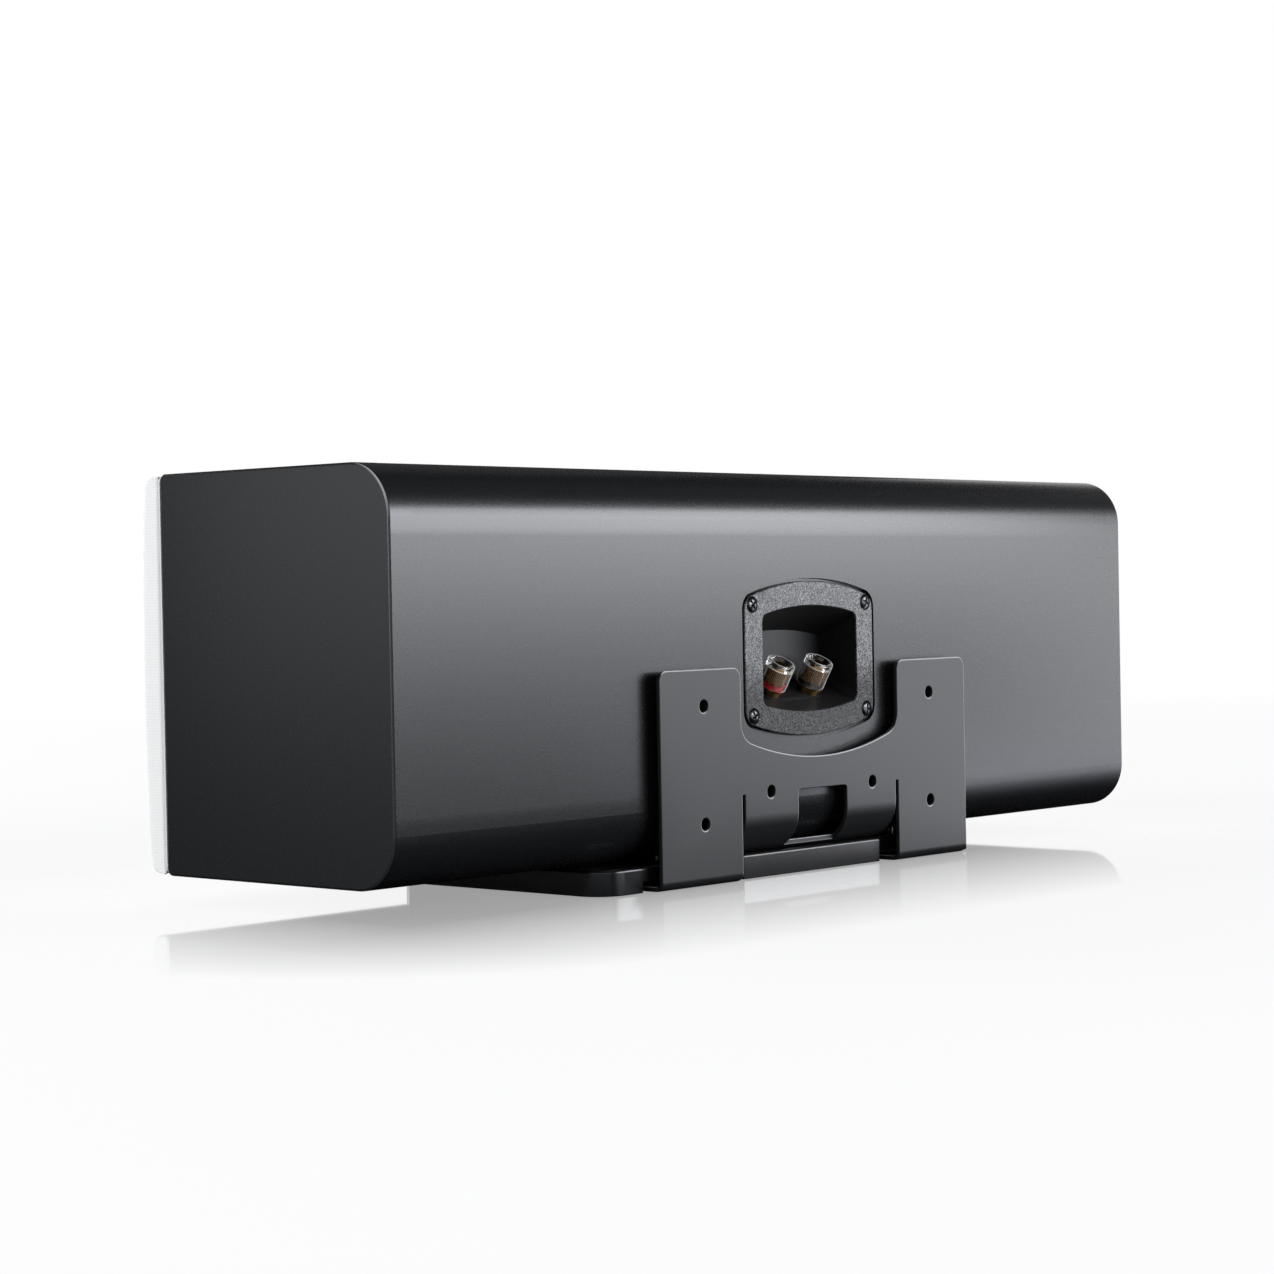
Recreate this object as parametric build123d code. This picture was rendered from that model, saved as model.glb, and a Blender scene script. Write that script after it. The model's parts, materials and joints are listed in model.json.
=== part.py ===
from build123d import *
import os
from math import asin, cos, sin

# A center channel speaker: a long low cabinet on a flat base, with a white cloth front,
# a recessed terminal cup at the rear and a folded steel bracket for a wall or a shelf.
# Millimetres, +Z up. The front faces -Y, the rear faces +Y and X runs along the cabinet.

# Cabinet
cabinet_width = 507.0
cabinet_height = 165.0
cabinet_depth = 137.0
panel_thickness = 12.0
rear_edge_radius = 21.5
front_edge_radius = 2.5
end_edge_round = 1.0
baffle_thickness = 15.0
glue_gap = 0.1

# Stand under the cabinet and bracket behind it
sheet_thickness = 2.0
bracket_standoff = 4.0
bracket_width = 216.0
bracket_height = 92.0
bracket_corner_radius = 4.5
wing_bend_radius = 4.0
flange_bend_radius = 18.0
wing_inner_gap = 111.0
slit_width = 2.0
slit_top = 37.0
foot_reach = 60.0
flange_reach = 70.0
cutout_bottom = 51.3
cutout_arch = 10.0
cutout_corner_radius = 10.0
window_width = 34.4
window_top = 37.2
window_reach = 3.0
window_corner_radius = 2.0
wall_hole_radius = 2.75
wall_hole_spacing_x = 160.0
wall_hole_spacing_z = 50.0
wall_hole_bottom = 26.3
middle_hole_spacing = 72.0
middle_hole_height = 37.5
base_width = 263.0
base_offset = 6.5
base_depth = 125.0
base_thickness = 11.0
base_corner_radius = 13.0
base_edge_round = 1.5
base_notch_inner = 48.4
base_notch_outer = 113.5
base_mouth_height = 4.6
base_mouth_depth = 6.0
base_recess_depth = 2.5
base_recess_outer = 100.0
flange_seat_depth = 1.0
flange_seat_lip = 4.5
slot_clearance = 1.0
base_screw_radius = 2.0
base_screw_head_radius = 4.0
base_screw_grip = 10.0
base_screw_sink = 0.2
foot_screw_x = 82.0
foot_screw_depths = (20.0, 48.0)
flange_screw_x = 36.0
flange_screw_depth = 45.0
screw_clearance = 0.1

# Front bezel and grille
bezel_step_depth = 1.0
bezel_rim_depth = 1.0
bezel_step_inset = 2.5
bezel_width = 10.0
front_inset = 0.8
grille_depth = 13.4
grille_crown = 2.5
grille_edge_radius = 5.0
grille_end_radius = 3.0
cloth_thickness = 1.0
grille_rib = 10.0
grille_margin = 12.0
driver_clearance = 3.0
peg_end_distance = 28.5
peg_edge_distance = 22.5
peg_radius = 3.0
peg_length = 8.0
socket_wall = 2.0
socket_floor = 1.5
peg_clearance = 0.1

# Bass drivers
woofer_end_distance = 88.5
woofer_rim_gap = 5.5
woofer_rim_width = 12.5
woofer_flange_thickness = 4.0
cone_depth = 20.0
cone_lip = 3.0
cone_thickness = 0.8
cone_neck_thickness = 1.3
surround_width = 10.0
surround_foot = 5.0
basket_wall = 2.0
basket_depth = 40.0
basket_window_width = 34.0
basket_window_count = 4
basket_window_margin = 4.0
spider_depth = 28.0
spider_radius = 40.0
spider_ledge = 4.0
spider_wave = 1.5
spider_wave_count = 4
dust_cap_radius = 18.0
dust_cap_rise = 7.0
coil_radius = 13.0
coil_former_wall = 0.4
coil_winding = 0.4
coil_overhang = 3.0
magnet_gap = 0.5
woofer_plate_radius = 36.0
woofer_plate_thickness = 5.0
woofer_magnet_radius = 42.0
woofer_magnet_bore = 20.0
woofer_magnet_thickness = 15.0
yoke_vent_radius = 4.0
cutout_clearance = 1.0
lead_tab_end = 3.0
lead_tab_width = 12.0

# Treble driver
tweeter_flange_radius = 45.0
tweeter_flange_thickness = 4.0
horn_mouth_radius = 30.0
horn_throat_radius = 16.0
horn_throat_depth = 1.0
dome_radius = 12.7
dome_rise = 5.0
dome_thickness = 0.6
dome_flange_radius = 20.0
tweeter_plate_radius = 32.0
tweeter_plate_thickness = 4.0
tweeter_magnet_radius = 34.0
tweeter_magnet_bore = 17.0
tweeter_magnet_thickness = 12.0

# Driver screws
driver_screw_count = 4
driver_screw_radius = 1.75
driver_screw_head_radius = 3.5
driver_screw_head_height = 2.0
driver_screw_grip = 10.0

# Terminal cup, let into the rear panel so that its face is almost flush
cup_proud = 0.3
cup_rebate_gap = 1.3
cup_flange_width = 90.6
cup_flange_height = 68.5
cup_flange_arch = 7.5
cup_flange_corner = 7.0
cup_flange_thickness = 2.0
cup_flange_round = 0.6
gasket_thickness = 0.6
gasket_inset = 0.5
cup_mouth_width = 67.0
cup_mouth_height = 47.4
cup_mouth_arch = 4.0
cup_mouth_corner = 4.0
cup_back_width = 64.0
cup_back_height = 26.0
cup_back_arch = 3.4
cup_back_drop = 0.5
cup_depth = 19.8
cup_wall = 2.5
cup_cutout_width = 74.0
cup_cutout_height = 62.0
cup_cutout_arch = 6.0
cup_screw_spacing_x = 80.0
cup_screw_spacing_z = 48.5
cup_screw_radius = 1.5
cup_screw_head_radius = 3.2
cup_screw_head_height = 1.8
cup_screw_head_round = 1.0
cup_screw_grip = 10.0
cup_counterbore_depth = 1.2
cup_counterbore_gap = 0.5

# Binding posts, set square to the sloping floor of the cup
post_spacing = 27.0
post_tilt = 30.0
post_foot_depth = 13.4
post_foot_drop = 14.8
post_pad_width = 40.0
post_pad_depth = 13.0
post_pad_shift = 1.0
post_pad_rise = 3.0
post_boss_radius = 6.5
post_boss_depth = 5.5
stud_radius = 3.0
stud_collar_radius = 5.2
stud_collar_height = 2.0
stud_height = 14.4
stud_tail = 10.0
socket_radius = 2.0
socket_depth = 12.0
post_clearance = 0.1
washer_gap = 0.2
washer_radius = 6.2
washer_thickness = 0.8
washer_play = 0.3
cap_radius = 6.5
cap_wall = 0.8
cap_height = 12.4
cap_top_thickness = 3.2
cap_dish_radius = 4.8
cap_dish_depth = 2.0
cap_edge_round = 0.6
core_radius = 4.6
core_flute_count = 20
core_flute_radius = 0.35
ring_height = 2.2
tag_thickness = 0.6
tag_ring_radius = 4.6
tag_length = 14.0
tag_width = 4.0
nut_flats = 8.0
nut_height = 3.0

# Crossover, wadding and leads
board_length = 104.0
board_height = 66.0
board_thickness = 2.0
board_setback = 34.0
board_screw_inset = 5.0
board_screw_radius = 1.5
board_screw_head_radius = 2.8
board_screw_head_height = 1.6
board_screw_grip = 8.0
bass_coil_radius = 20.0
bass_coil_bore = 8.0
bass_coil_height = 15.0
bass_coil_offset = 27.0
bass_capacitor_radius = 8.0
bass_capacitor_length = 34.0
treble_capacitor_radius = 6.0
treble_capacitor_length = 28.0
capacitor_offset = 15.0
capacitor_rise = 16.0
capacitor_edge_round = 1.0
wadding_thickness = 14.0
wadding_end_gap = 8.0
wadding_front_gap = 25.0
lead_radius = 1.1
lead_bend = 12.0
lead_pitch = 6.0
lead_row = 16.0

# Where the main planes lie
flange_bottom = base_thickness - flange_seat_depth
cabinet_bottom = flange_bottom + sheet_thickness
axis_height = cabinet_bottom + cabinet_height / 2
bezel_depth = bezel_step_depth + bezel_rim_depth
front_depth = bezel_depth + grille_depth
bracket_rear = (front_depth + cabinet_depth + bracket_standoff + sheet_thickness) / 2
bracket_front = bracket_rear - sheet_thickness
cabinet_rear = bracket_front - bracket_standoff
cabinet_front = cabinet_rear - cabinet_depth
cabinet_middle = (cabinet_front + cabinet_rear) / 2
bezel_front = cabinet_front - bezel_depth
inner_rear = cabinet_rear - panel_thickness
inner_half_width = cabinet_width / 2 - panel_thickness
inner_half_height = cabinet_height / 2 - panel_thickness
cup_face = cabinet_rear + cup_proud
cup_seat = cup_face - cup_flange_thickness
cup_rebate_floor = cup_seat - gasket_thickness
peg_spacing_x = cabinet_width - 2 * peg_end_distance
peg_spacing_z = cabinet_height - 2 * peg_edge_distance
woofer_spacing = cabinet_width - 2 * woofer_end_distance
woofer_flange_radius = cabinet_height / 2 - bezel_width - woofer_rim_gap
flange_inner_radius = woofer_flange_radius - woofer_rim_width
cone_radius = flange_inner_radius - magnet_gap - surround_width
basket_cutout_radius = flange_inner_radius + basket_wall + cutout_clearance
tweeter_cutout_radius = tweeter_magnet_radius + cutout_clearance
woofer_screw_circle = (flange_inner_radius + surround_foot + woofer_flange_radius) / 2
tweeter_screw_circle = (tweeter_cutout_radius + tweeter_flange_radius) / 2
magnet_front = basket_depth + woofer_plate_thickness
board_front = inner_rear - board_thickness
board_x = woofer_spacing / 2 - board_setback
bass_coil_x = board_x + bass_coil_offset
capacitor_x = board_x - capacitor_offset
lead_circle = max(spider_radius + basket_wall, woofer_magnet_radius) + 2 * lead_radius


def across(x):
    """Plane across the cabinet at x: first axis +Y, second axis +Z, normal +X."""
    return Plane(origin=(x, 0, 0), x_dir=(0, 1, 0), z_dir=(1, 0, 0))


def facing_rear(y, z=0.0):
    """Plane that faces the rear at y: second axis +Z, normal +Y."""
    return Plane(origin=(0, y, z), x_dir=(-1, 0, 0), z_dir=(0, 1, 0))


def block(x_range, y_range, z_range):
    """Rectangular block between two corners."""
    size = [high - low for low, high in (x_range, y_range, z_range)]
    middle = [(high + low) / 2 for low, high in (x_range, y_range, z_range)]
    return Pos(*middle) * Box(*size)


def turned(points):
    """Solid turned about Z from a closed outline of (radius, height) points."""
    return revolve(Plane.XZ * make_face(Polyline(*points, close=True)), Axis.Z)


def tube(inner, outer, low, high):
    """Plain ring about Z."""
    return turned([(inner, low), (outer, low), (outer, high), (inner, high)])


def corners(sketch, x, y):
    """The vertex of a flat sketch nearest to a point."""
    return sketch.vertices().sort_by_distance((x, y, 0))[0]


def arched(width, height, arch, corner):
    """Outline with straight sides, bowed top and bottom edges and rounded corners."""
    side = height / 2 - arch
    outline = make_face([
        ThreePointArc((-width / 2, side), (0, height / 2), (width / 2, side)),
        Line((width / 2, side), (width / 2, -side)),
        ThreePointArc((width / 2, -side), (0, -height / 2), (-width / 2, -side)),
        Line((-width / 2, -side), (-width / 2, side)),
    ])
    return fillet(outline.vertices(), corner)


def on_front(x):
    """Place on the baffle face at x, with local +Z out of the front."""
    return Location((x, cabinet_front, axis_height), (90, 0, 0))


def around(count, radius):
    """Evenly spaced places on a circle, the first one half a step round."""
    return PolarLocations(radius, count, start_angle=180 / count)


def cabinet_outline():
    """End view of the cabinet: rear edges well rounded, front edges just eased."""
    outline = Pos(cabinet_middle, axis_height) * Rectangle(cabinet_depth, cabinet_height)
    rear = outline.vertices().group_by(Axis.X)[-1]
    outline = fillet(rear, rear_edge_radius)
    front = outline.vertices().group_by(Axis.X)[0]
    return fillet(front, front_edge_radius)


def cup_screw_places():
    return [
        (side * cup_screw_spacing_x / 2, axis_height + rise * cup_screw_spacing_z / 2)
        for side in (-1, 1)
        for rise in (-1, 1)
    ]


def base_screw_places():
    """Screws up through both feet, and up through the base and the bracket's flange."""
    places = []
    for side in (-1, 1):
        for depth in foot_screw_depths:
            places.append((side * foot_screw_x, cabinet_rear - depth))
        places.append((side * flange_screw_x, cabinet_rear - flange_screw_depth))
    return places


def board_screw_places():
    half_x = board_length / 2 - board_screw_inset
    half_z = board_height / 2 - board_screw_inset
    return [
        (board_x + side * half_x, axis_height + rise * half_z)
        for side in (-1, 1)
        for rise in (-1, 1)
    ]


def rearward_rod(x, z, radius, y_low, y_high):
    """Round rod along Y."""
    height = y_high - y_low
    return Location((x, (y_low + y_high) / 2, z), (90, 0, 0)) * Cylinder(radius, height)


def cabinet_wrap():
    outline = cabinet_outline()
    hollow_depth = cabinet_depth - panel_thickness
    hollow = Rectangle(hollow_depth, 2 * inner_half_height)
    hollow = Pos(cabinet_front + hollow_depth / 2, axis_height) * hollow
    rear = hollow.vertices().group_by(Axis.X)[-1]
    hollow = fillet(rear, max(rear_edge_radius - panel_thickness, glue_gap))
    wrap = extrude(across(-inner_half_width) * (outline - hollow), 2 * inner_half_width)
    opening = arched(cup_cutout_width, cup_cutout_height, cup_cutout_arch, cup_mouth_corner)
    wrap -= extrude(facing_rear(inner_rear, axis_height) * opening, panel_thickness)
    rebate = arched(cup_flange_width + 2 * cup_rebate_gap, cup_flange_height + 2 * cup_rebate_gap,
                    cup_flange_arch, cup_flange_corner + cup_rebate_gap)
    wrap -= extrude(facing_rear(cup_rebate_floor, axis_height) * rebate, cabinet_rear - cup_rebate_floor)
    for x, z in cup_screw_places():
        wrap -= rearward_rod(x, z, cup_screw_radius + screw_clearance,
                             cabinet_rear - cup_screw_grip - screw_clearance, cabinet_rear)
    for x, z in board_screw_places():
        wrap -= rearward_rod(x, z, board_screw_radius + screw_clearance,
                             inner_rear, inner_rear + board_screw_grip + screw_clearance)
    pilot = base_screw_grip + screw_clearance
    for x, y in base_screw_places():
        wrap -= Pos(x, y, cabinet_bottom + pilot / 2) * Cylinder(base_screw_radius + screw_clearance, pilot)
    return wrap


def end_panel(side):
    inside = side * inner_half_width
    panel = extrude(across(inside) * cabinet_outline(), side * panel_thickness)
    outside = panel.faces().sort_by(Axis.X)[-1 if side > 0 else 0]
    return fillet(outside.edges(), end_edge_round)


def front_baffle():
    half_width = inner_half_width - glue_gap
    half_height = inner_half_height - glue_gap
    rear = cabinet_front + baffle_thickness
    baffle = block((-half_width, half_width), (cabinet_front, rear),
                   (axis_height - half_height, axis_height + half_height))
    for side in (-1, 1):
        x = side * woofer_spacing / 2
        baffle -= rearward_rod(x, axis_height, basket_cutout_radius, cabinet_front, rear)
        for peg_x, peg_z in peg_places(side):
            baffle -= rearward_rod(peg_x, peg_z, peg_radius + peg_clearance + socket_wall + glue_gap,
                                   cabinet_front, rear)
        baffle -= screw_pilots(x, woofer_screw_circle)
    baffle -= rearward_rod(0, axis_height, tweeter_cutout_radius, cabinet_front, rear)
    return baffle - screw_pilots(0, tweeter_screw_circle)


def screw_pilots(x, circle):
    """Blind holes in the baffle for the screws of the driver at x."""
    depth = driver_screw_grip + screw_clearance
    hole = Pos(0, 0, -depth / 2) * Cylinder(driver_screw_radius + screw_clearance, depth)
    return on_front(x) * Compound([place * hole for place in around(driver_screw_count, circle)])


def peg_places(side):
    x = side * peg_spacing_x / 2
    return [(x, axis_height - peg_spacing_z / 2), (x, axis_height + peg_spacing_z / 2)]


def front_bezel():
    """Thin moulded ring: a set-back step that reads as a shadow line, and a rim outside it."""
    opening = Rectangle(cabinet_width - 2 * bezel_width, cabinet_height - 2 * bezel_width)
    step = Rectangle(cabinet_width - 2 * bezel_step_inset, cabinet_height - 2 * bezel_step_inset)
    rim = Rectangle(cabinet_width - 2 * front_inset, cabinet_height - 2 * front_inset)
    rim = fillet(rim.vertices(), front_edge_radius)
    ring = extrude(facing_rear(cabinet_front, axis_height) * (step - opening), -bezel_step_depth)
    rim_back = cabinet_front - bezel_step_depth
    return ring + extrude(facing_rear(rim_back, axis_height) * (rim - opening), -bezel_rim_depth)


def grille_body(skin):
    """Convex front block, drawn in by the given skin on its front and sides."""
    half_height = cabinet_height / 2 - front_inset - skin
    half_width = cabinet_width / 2 - front_inset - skin
    crown = bezel_front - grille_depth + skin
    edge = crown + grille_crown
    edge_radius = max(grille_edge_radius - skin, glue_gap)
    end_radius = max(grille_end_radius - skin, glue_gap)
    low = axis_height - half_height
    high = axis_height + half_height
    outline = make_face([
        Line((bezel_front, high), (bezel_front, low)),
        Line((bezel_front, low), (edge, low)),
        ThreePointArc((edge, low), (crown, axis_height), (edge, high)),
        Line((edge, high), (bezel_front, high)),
    ])
    outline = fillet([corners(outline, edge, low), corners(outline, edge, high)], edge_radius)
    body = extrude(across(-half_width) * outline, 2 * half_width)
    ends = body.faces().filter_by(Axis.X)
    rims = [edge for face in ends for edge in face.edges() if edge.center().Y < bezel_front - glue_gap]
    return fillet(rims, end_radius)


def grille_cloth():
    return grille_body(0.0) - grille_body(cloth_thickness)


def grille_frame():
    """Moulded frame under the cloth: open in front of each driver, with pegs at the back."""
    frame = grille_body(cloth_thickness)
    clear = woofer_flange_radius + driver_clearance
    depth = grille_depth + glue_gap
    for side in (-1, 1):
        x = side * woofer_spacing / 2
        frame -= rearward_rod(x, axis_height, clear, bezel_front - depth, bezel_front)
    middle_width = woofer_spacing - 2 * clear - 2 * grille_rib
    middle_height = cabinet_height - 2 * (front_inset + cloth_thickness + grille_margin)
    middle = RectangleRounded(middle_width, middle_height, grille_margin)
    frame -= extrude(facing_rear(bezel_front, axis_height) * middle, -depth)
    for side in (-1, 1):
        for x, z in peg_places(side):
            frame += rearward_rod(x, z, peg_radius, bezel_front, cabinet_front + peg_length)
    return frame


def grille_sockets():
    """Rubber cups in the baffle that grip the grille's pegs."""
    bore = peg_radius + peg_clearance
    floor = cabinet_front + peg_length + peg_clearance
    cups = []
    for side in (-1, 1):
        for x, z in peg_places(side):
            cup = rearward_rod(x, z, bore + socket_wall, cabinet_front, floor + socket_floor)
            cups.append(cup - rearward_rod(x, z, bore, cabinet_front, floor))
    return Compound(cups)


def woofer_basket(side):
    """Pressed frame: front flange, windowed cone, spider ledge and a seat on the top plate."""
    top = woofer_flange_thickness
    well = spider_radius - spider_ledge
    seat = coil_radius + coil_winding + coil_overhang
    basket = turned([
        (flange_inner_radius, top), (woofer_flange_radius, top), (woofer_flange_radius, 0),
        (flange_inner_radius + basket_wall, 0), (spider_radius + basket_wall, -spider_depth - basket_wall),
        (well + basket_wall, -spider_depth - basket_wall), (well + basket_wall, -basket_depth),
        (seat, -basket_depth), (seat, -basket_depth + basket_wall),
        (well, -basket_depth + basket_wall), (well, -spider_depth),
        (spider_radius, -spider_depth), (flange_inner_radius, 0),
    ])
    window_low = -spider_depth + basket_window_margin
    window_height = spider_depth - 2 * basket_window_margin
    window = Pos(0, 0, window_low + window_height / 2)
    window *= Box(2 * woofer_flange_radius, basket_window_width, window_height)
    for index in range(basket_window_count // 2):
        basket -= Rot(0, 0, 45 + 90 * index) * window
    tab_length = lead_circle + lead_tab_end - spider_radius
    tab = Pos(-side * (spider_radius + tab_length / 2), 0, -spider_depth - basket_wall / 2)
    return basket + tab * Box(tab_length, lead_tab_width, basket_wall)


def woofer_surround():
    """Half-roll rubber edge with a flat foot on the cone and another on the flange."""
    low = woofer_flange_thickness
    high = low + cone_thickness
    start = cone_radius
    end = cone_radius + surround_width
    middle = (start + end) / 2
    roll = surround_width / 2
    outline = make_face([
        Line((start - cone_lip, low), (start - cone_lip, high)),
        Line((start - cone_lip, high), (start, high)),
        ThreePointArc((start, high), (middle, high + roll), (end, high)),
        Line((end, high), (end + surround_foot, high)),
        Line((end + surround_foot, high), (end + surround_foot, low)),
        Line((end + surround_foot, low), (end - cone_thickness, low)),
        ThreePointArc((end - cone_thickness, low), (middle, low + roll), (start + cone_thickness, low)),
        Line((start + cone_thickness, low), (start - cone_lip, low)),
    ])
    return revolve(Plane.XZ * outline, Axis.Z)


def cone_height(radius):
    """Height of the cone's front face at a radius."""
    edge = cone_radius - cone_lip
    rise = woofer_flange_thickness + cone_depth
    return -cone_depth + rise * (radius - coil_radius) / (edge - coil_radius)


def woofer_cone():
    top = woofer_flange_thickness
    edge = cone_radius - cone_lip
    return turned([
        (coil_radius, -cone_depth), (edge, top), (cone_radius, top), (cone_radius, top - cone_thickness),
        (edge + cone_thickness / 2, top - cone_thickness), (coil_radius, -cone_depth - cone_neck_thickness),
    ])


def dome_arc(radius, low, rise):
    """Half section of a spherical cap, from its rim to its top."""
    sphere = (radius ** 2 + rise ** 2) / (2 * rise)
    half_angle = asin(min(radius / sphere, 1.0)) / 2
    middle = (sphere * sin(half_angle), low + rise - sphere * (1 - cos(half_angle)))
    return ThreePointArc((radius, low), middle, (0, low + rise))


def woofer_dust_cap():
    low = cone_height(dust_cap_radius) + glue_gap
    inner = dust_cap_radius - cone_thickness
    top = low + dust_cap_rise
    outline = make_face([
        dome_arc(dust_cap_radius, low, dust_cap_rise),
        Line((0, top), (0, top - cone_thickness)),
        dome_arc(inner, low, dust_cap_rise - cone_thickness),
        Line((inner, low), (dust_cap_radius, low)),
    ])
    return revolve(Plane.XZ * outline, Axis.Z)


def woofer_spider():
    """Corrugated disc that centres the coil, glued to the ledge at its rim."""
    inner = coil_radius + glue_gap
    outer = spider_radius - glue_gap
    wave_start = inner + cone_lip
    wave_end = outer - spider_ledge
    step = (wave_end - wave_start) / spider_wave_count
    ridge = [(inner, -spider_depth)]
    for index in range(spider_wave_count + 1):
        ridge.append((wave_start + index * step, -spider_depth + spider_wave * (index % 2)))
    ridge.append((outer, -spider_depth))
    top = [(radius, height + cone_thickness) for radius, height in reversed(ridge)]
    return turned(ridge + top)


def woofer_voice_coil():
    inner = coil_radius - coil_former_wall - glue_gap
    outer = coil_radius - glue_gap
    winding = coil_radius + coil_winding
    top = -cone_depth + coil_former_wall
    coil_top = -basket_depth + coil_overhang
    coil_low = -magnet_front - coil_overhang
    return turned([
        (inner, top), (outer, top), (outer, coil_top), (winding, coil_top),
        (winding, coil_low), (inner, coil_low),
    ])


def woofer_top_plate():
    bore = coil_radius + coil_winding + magnet_gap
    return tube(bore, woofer_plate_radius, -magnet_front, -basket_depth)


def woofer_magnet():
    back = -magnet_front - woofer_magnet_thickness
    return tube(woofer_magnet_bore, woofer_magnet_radius, back, -magnet_front)


def woofer_yoke():
    """Back plate and vented pole in one turned piece."""
    pole = coil_radius - coil_former_wall - glue_gap - magnet_gap
    seat = -magnet_front - woofer_magnet_thickness
    back = seat - woofer_plate_thickness
    return turned([
        (yoke_vent_radius, back), (woofer_plate_radius, back), (woofer_plate_radius, seat),
        (pole, seat), (pole, -basket_depth), (yoke_vent_radius, -basket_depth),
    ])


def driver_screws(x, circle, head_seat):
    """Pan-head screws of one driver, seated on its flange."""
    head_low = head_seat
    head = Pos(0, 0, head_low + driver_screw_head_height / 2)
    head *= Cylinder(driver_screw_head_radius, driver_screw_head_height)
    length = head_seat + driver_screw_grip
    shank = Pos(0, 0, head_seat - length / 2) * Cylinder(driver_screw_radius, length)
    screw = head + shank
    return [on_front(x) * place * screw for place in around(driver_screw_count, circle)]


def screw_clearance_holes(circle, depth):
    hole = Pos(0, 0, depth / 2) * Cylinder(driver_screw_radius + screw_clearance, depth)
    return Compound([place * hole for place in around(driver_screw_count, circle)])


def tweeter_faceplate():
    """Round plate with a shallow flare round the dome."""
    plate = turned([
        (horn_throat_radius, 0), (tweeter_flange_radius, 0),
        (tweeter_flange_radius, tweeter_flange_thickness), (horn_mouth_radius, tweeter_flange_thickness),
        (horn_throat_radius, horn_throat_depth),
    ])
    return plate - screw_clearance_holes(tweeter_screw_circle, tweeter_flange_thickness)


def tweeter_dome():
    """Pressed dome, its mounting flange and the coil former behind it."""
    low = -dome_thickness
    foot = low - tweeter_plate_thickness
    inner = dome_radius - dome_thickness
    outline = make_face([
        dome_arc(dome_radius, 0, dome_rise),
        Line((0, dome_rise), (0, dome_rise - dome_thickness)),
        dome_arc(inner, 0, dome_rise - dome_thickness),
        Polyline((inner, 0), (inner, foot), (dome_radius, foot), (dome_radius, low),
                 (dome_flange_radius, low), (dome_flange_radius, 0), (dome_radius, 0)),
    ])
    return revolve(Plane.XZ * outline, Axis.Z)


def tweeter_top_plate():
    low = -dome_thickness - tweeter_plate_thickness
    return tube(dome_radius + magnet_gap, tweeter_plate_radius, low, -dome_thickness)


def tweeter_magnet():
    high = -dome_thickness - tweeter_plate_thickness
    return tube(tweeter_magnet_bore, tweeter_magnet_radius, high - tweeter_magnet_thickness, high)


def tweeter_yoke():
    seat = -dome_thickness - tweeter_plate_thickness - tweeter_magnet_thickness
    back = seat - tweeter_plate_thickness
    pole = dome_radius - dome_thickness - magnet_gap
    return turned([
        (0, back), (tweeter_plate_radius, back), (tweeter_plate_radius, seat),
        (pole, seat), (pole, -dome_thickness - magnet_gap), (0, -dome_thickness - magnet_gap),
    ])


def post_axis(side):
    """Place of a binding post: origin on its pad, local +Z along the tilted stud."""
    y = cup_face - post_foot_depth
    z = axis_height - post_foot_drop
    return Location((side * post_spacing / 2, y, z), (-post_tilt, 0, 0))


def cup_funnel(grow):
    """Tapered hollow of the cup, or its outside when grown by the wall."""
    corner = cup_mouth_corner + grow
    mouth = arched(cup_mouth_width + 2 * grow, cup_mouth_height + 2 * grow, cup_mouth_arch, corner)
    back = arched(cup_back_width + 2 * grow, cup_back_height + 2 * grow, cup_back_arch, corner)
    mouth_plane = facing_rear(cup_face, axis_height)
    back_plane = facing_rear(cup_face - cup_depth - grow, axis_height - cup_back_drop)
    return loft([mouth_plane * mouth, back_plane * back])


def terminal_cup():
    """Moulded cup: arched flange, tapered recess, raised pad and bosses for the posts."""
    flange = arched(cup_flange_width, cup_flange_height, cup_flange_arch, cup_flange_corner)
    cup = extrude(facing_rear(cup_seat, axis_height) * flange, cup_flange_thickness)
    rim = cup.faces().sort_by(Axis.Y)[-1].edges()
    cup = fillet(rim, cup_flange_round)
    cup += cup_funnel(cup_wall)
    for side in (-1, 1):
        boss = Pos(0, 0, -post_boss_depth / 2) * Cylinder(post_boss_radius, post_boss_depth)
        cup += post_axis(side) * boss
    cup -= cup_funnel(0.0)
    middle = post_axis(0)
    pad = Pos(0, -post_pad_shift, -post_pad_rise / 2) * Box(post_pad_width, post_pad_depth, post_pad_rise)
    front_edges = pad.edges().filter_by(Axis.Z).group_by(Axis.Y)[-1]
    cup += middle * fillet(front_edges, post_pad_depth / 4)
    for side in (-1, 1):
        bore = Pos(0, 0, -post_boss_depth) * Cylinder(stud_radius + post_clearance, 4 * post_boss_depth)
        cup -= post_axis(side) * bore
    for x, z in cup_screw_places():
        cup -= rearward_rod(x, z, cup_screw_radius + screw_clearance, cup_seat, cup_face)
        cup -= rearward_rod(x, z, cup_screw_head_radius + cup_counterbore_gap,
                            cup_face - cup_counterbore_depth, cup_face)
    return cup


def terminal_gasket():
    """Thin foam ring between the cup's flange and the floor of its rebate."""
    outer = arched(cup_flange_width - 2 * gasket_inset, cup_flange_height - 2 * gasket_inset,
                   cup_flange_arch, cup_flange_corner)
    inner = arched(cup_cutout_width, cup_cutout_height, cup_cutout_arch, cup_mouth_corner)
    gasket = extrude(facing_rear(cup_rebate_floor, axis_height) * (outer - inner), gasket_thickness)
    for x, z in cup_screw_places():
        gasket -= rearward_rod(x, z, cup_screw_radius + screw_clearance, cup_rebate_floor, cup_seat)
    return gasket


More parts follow.
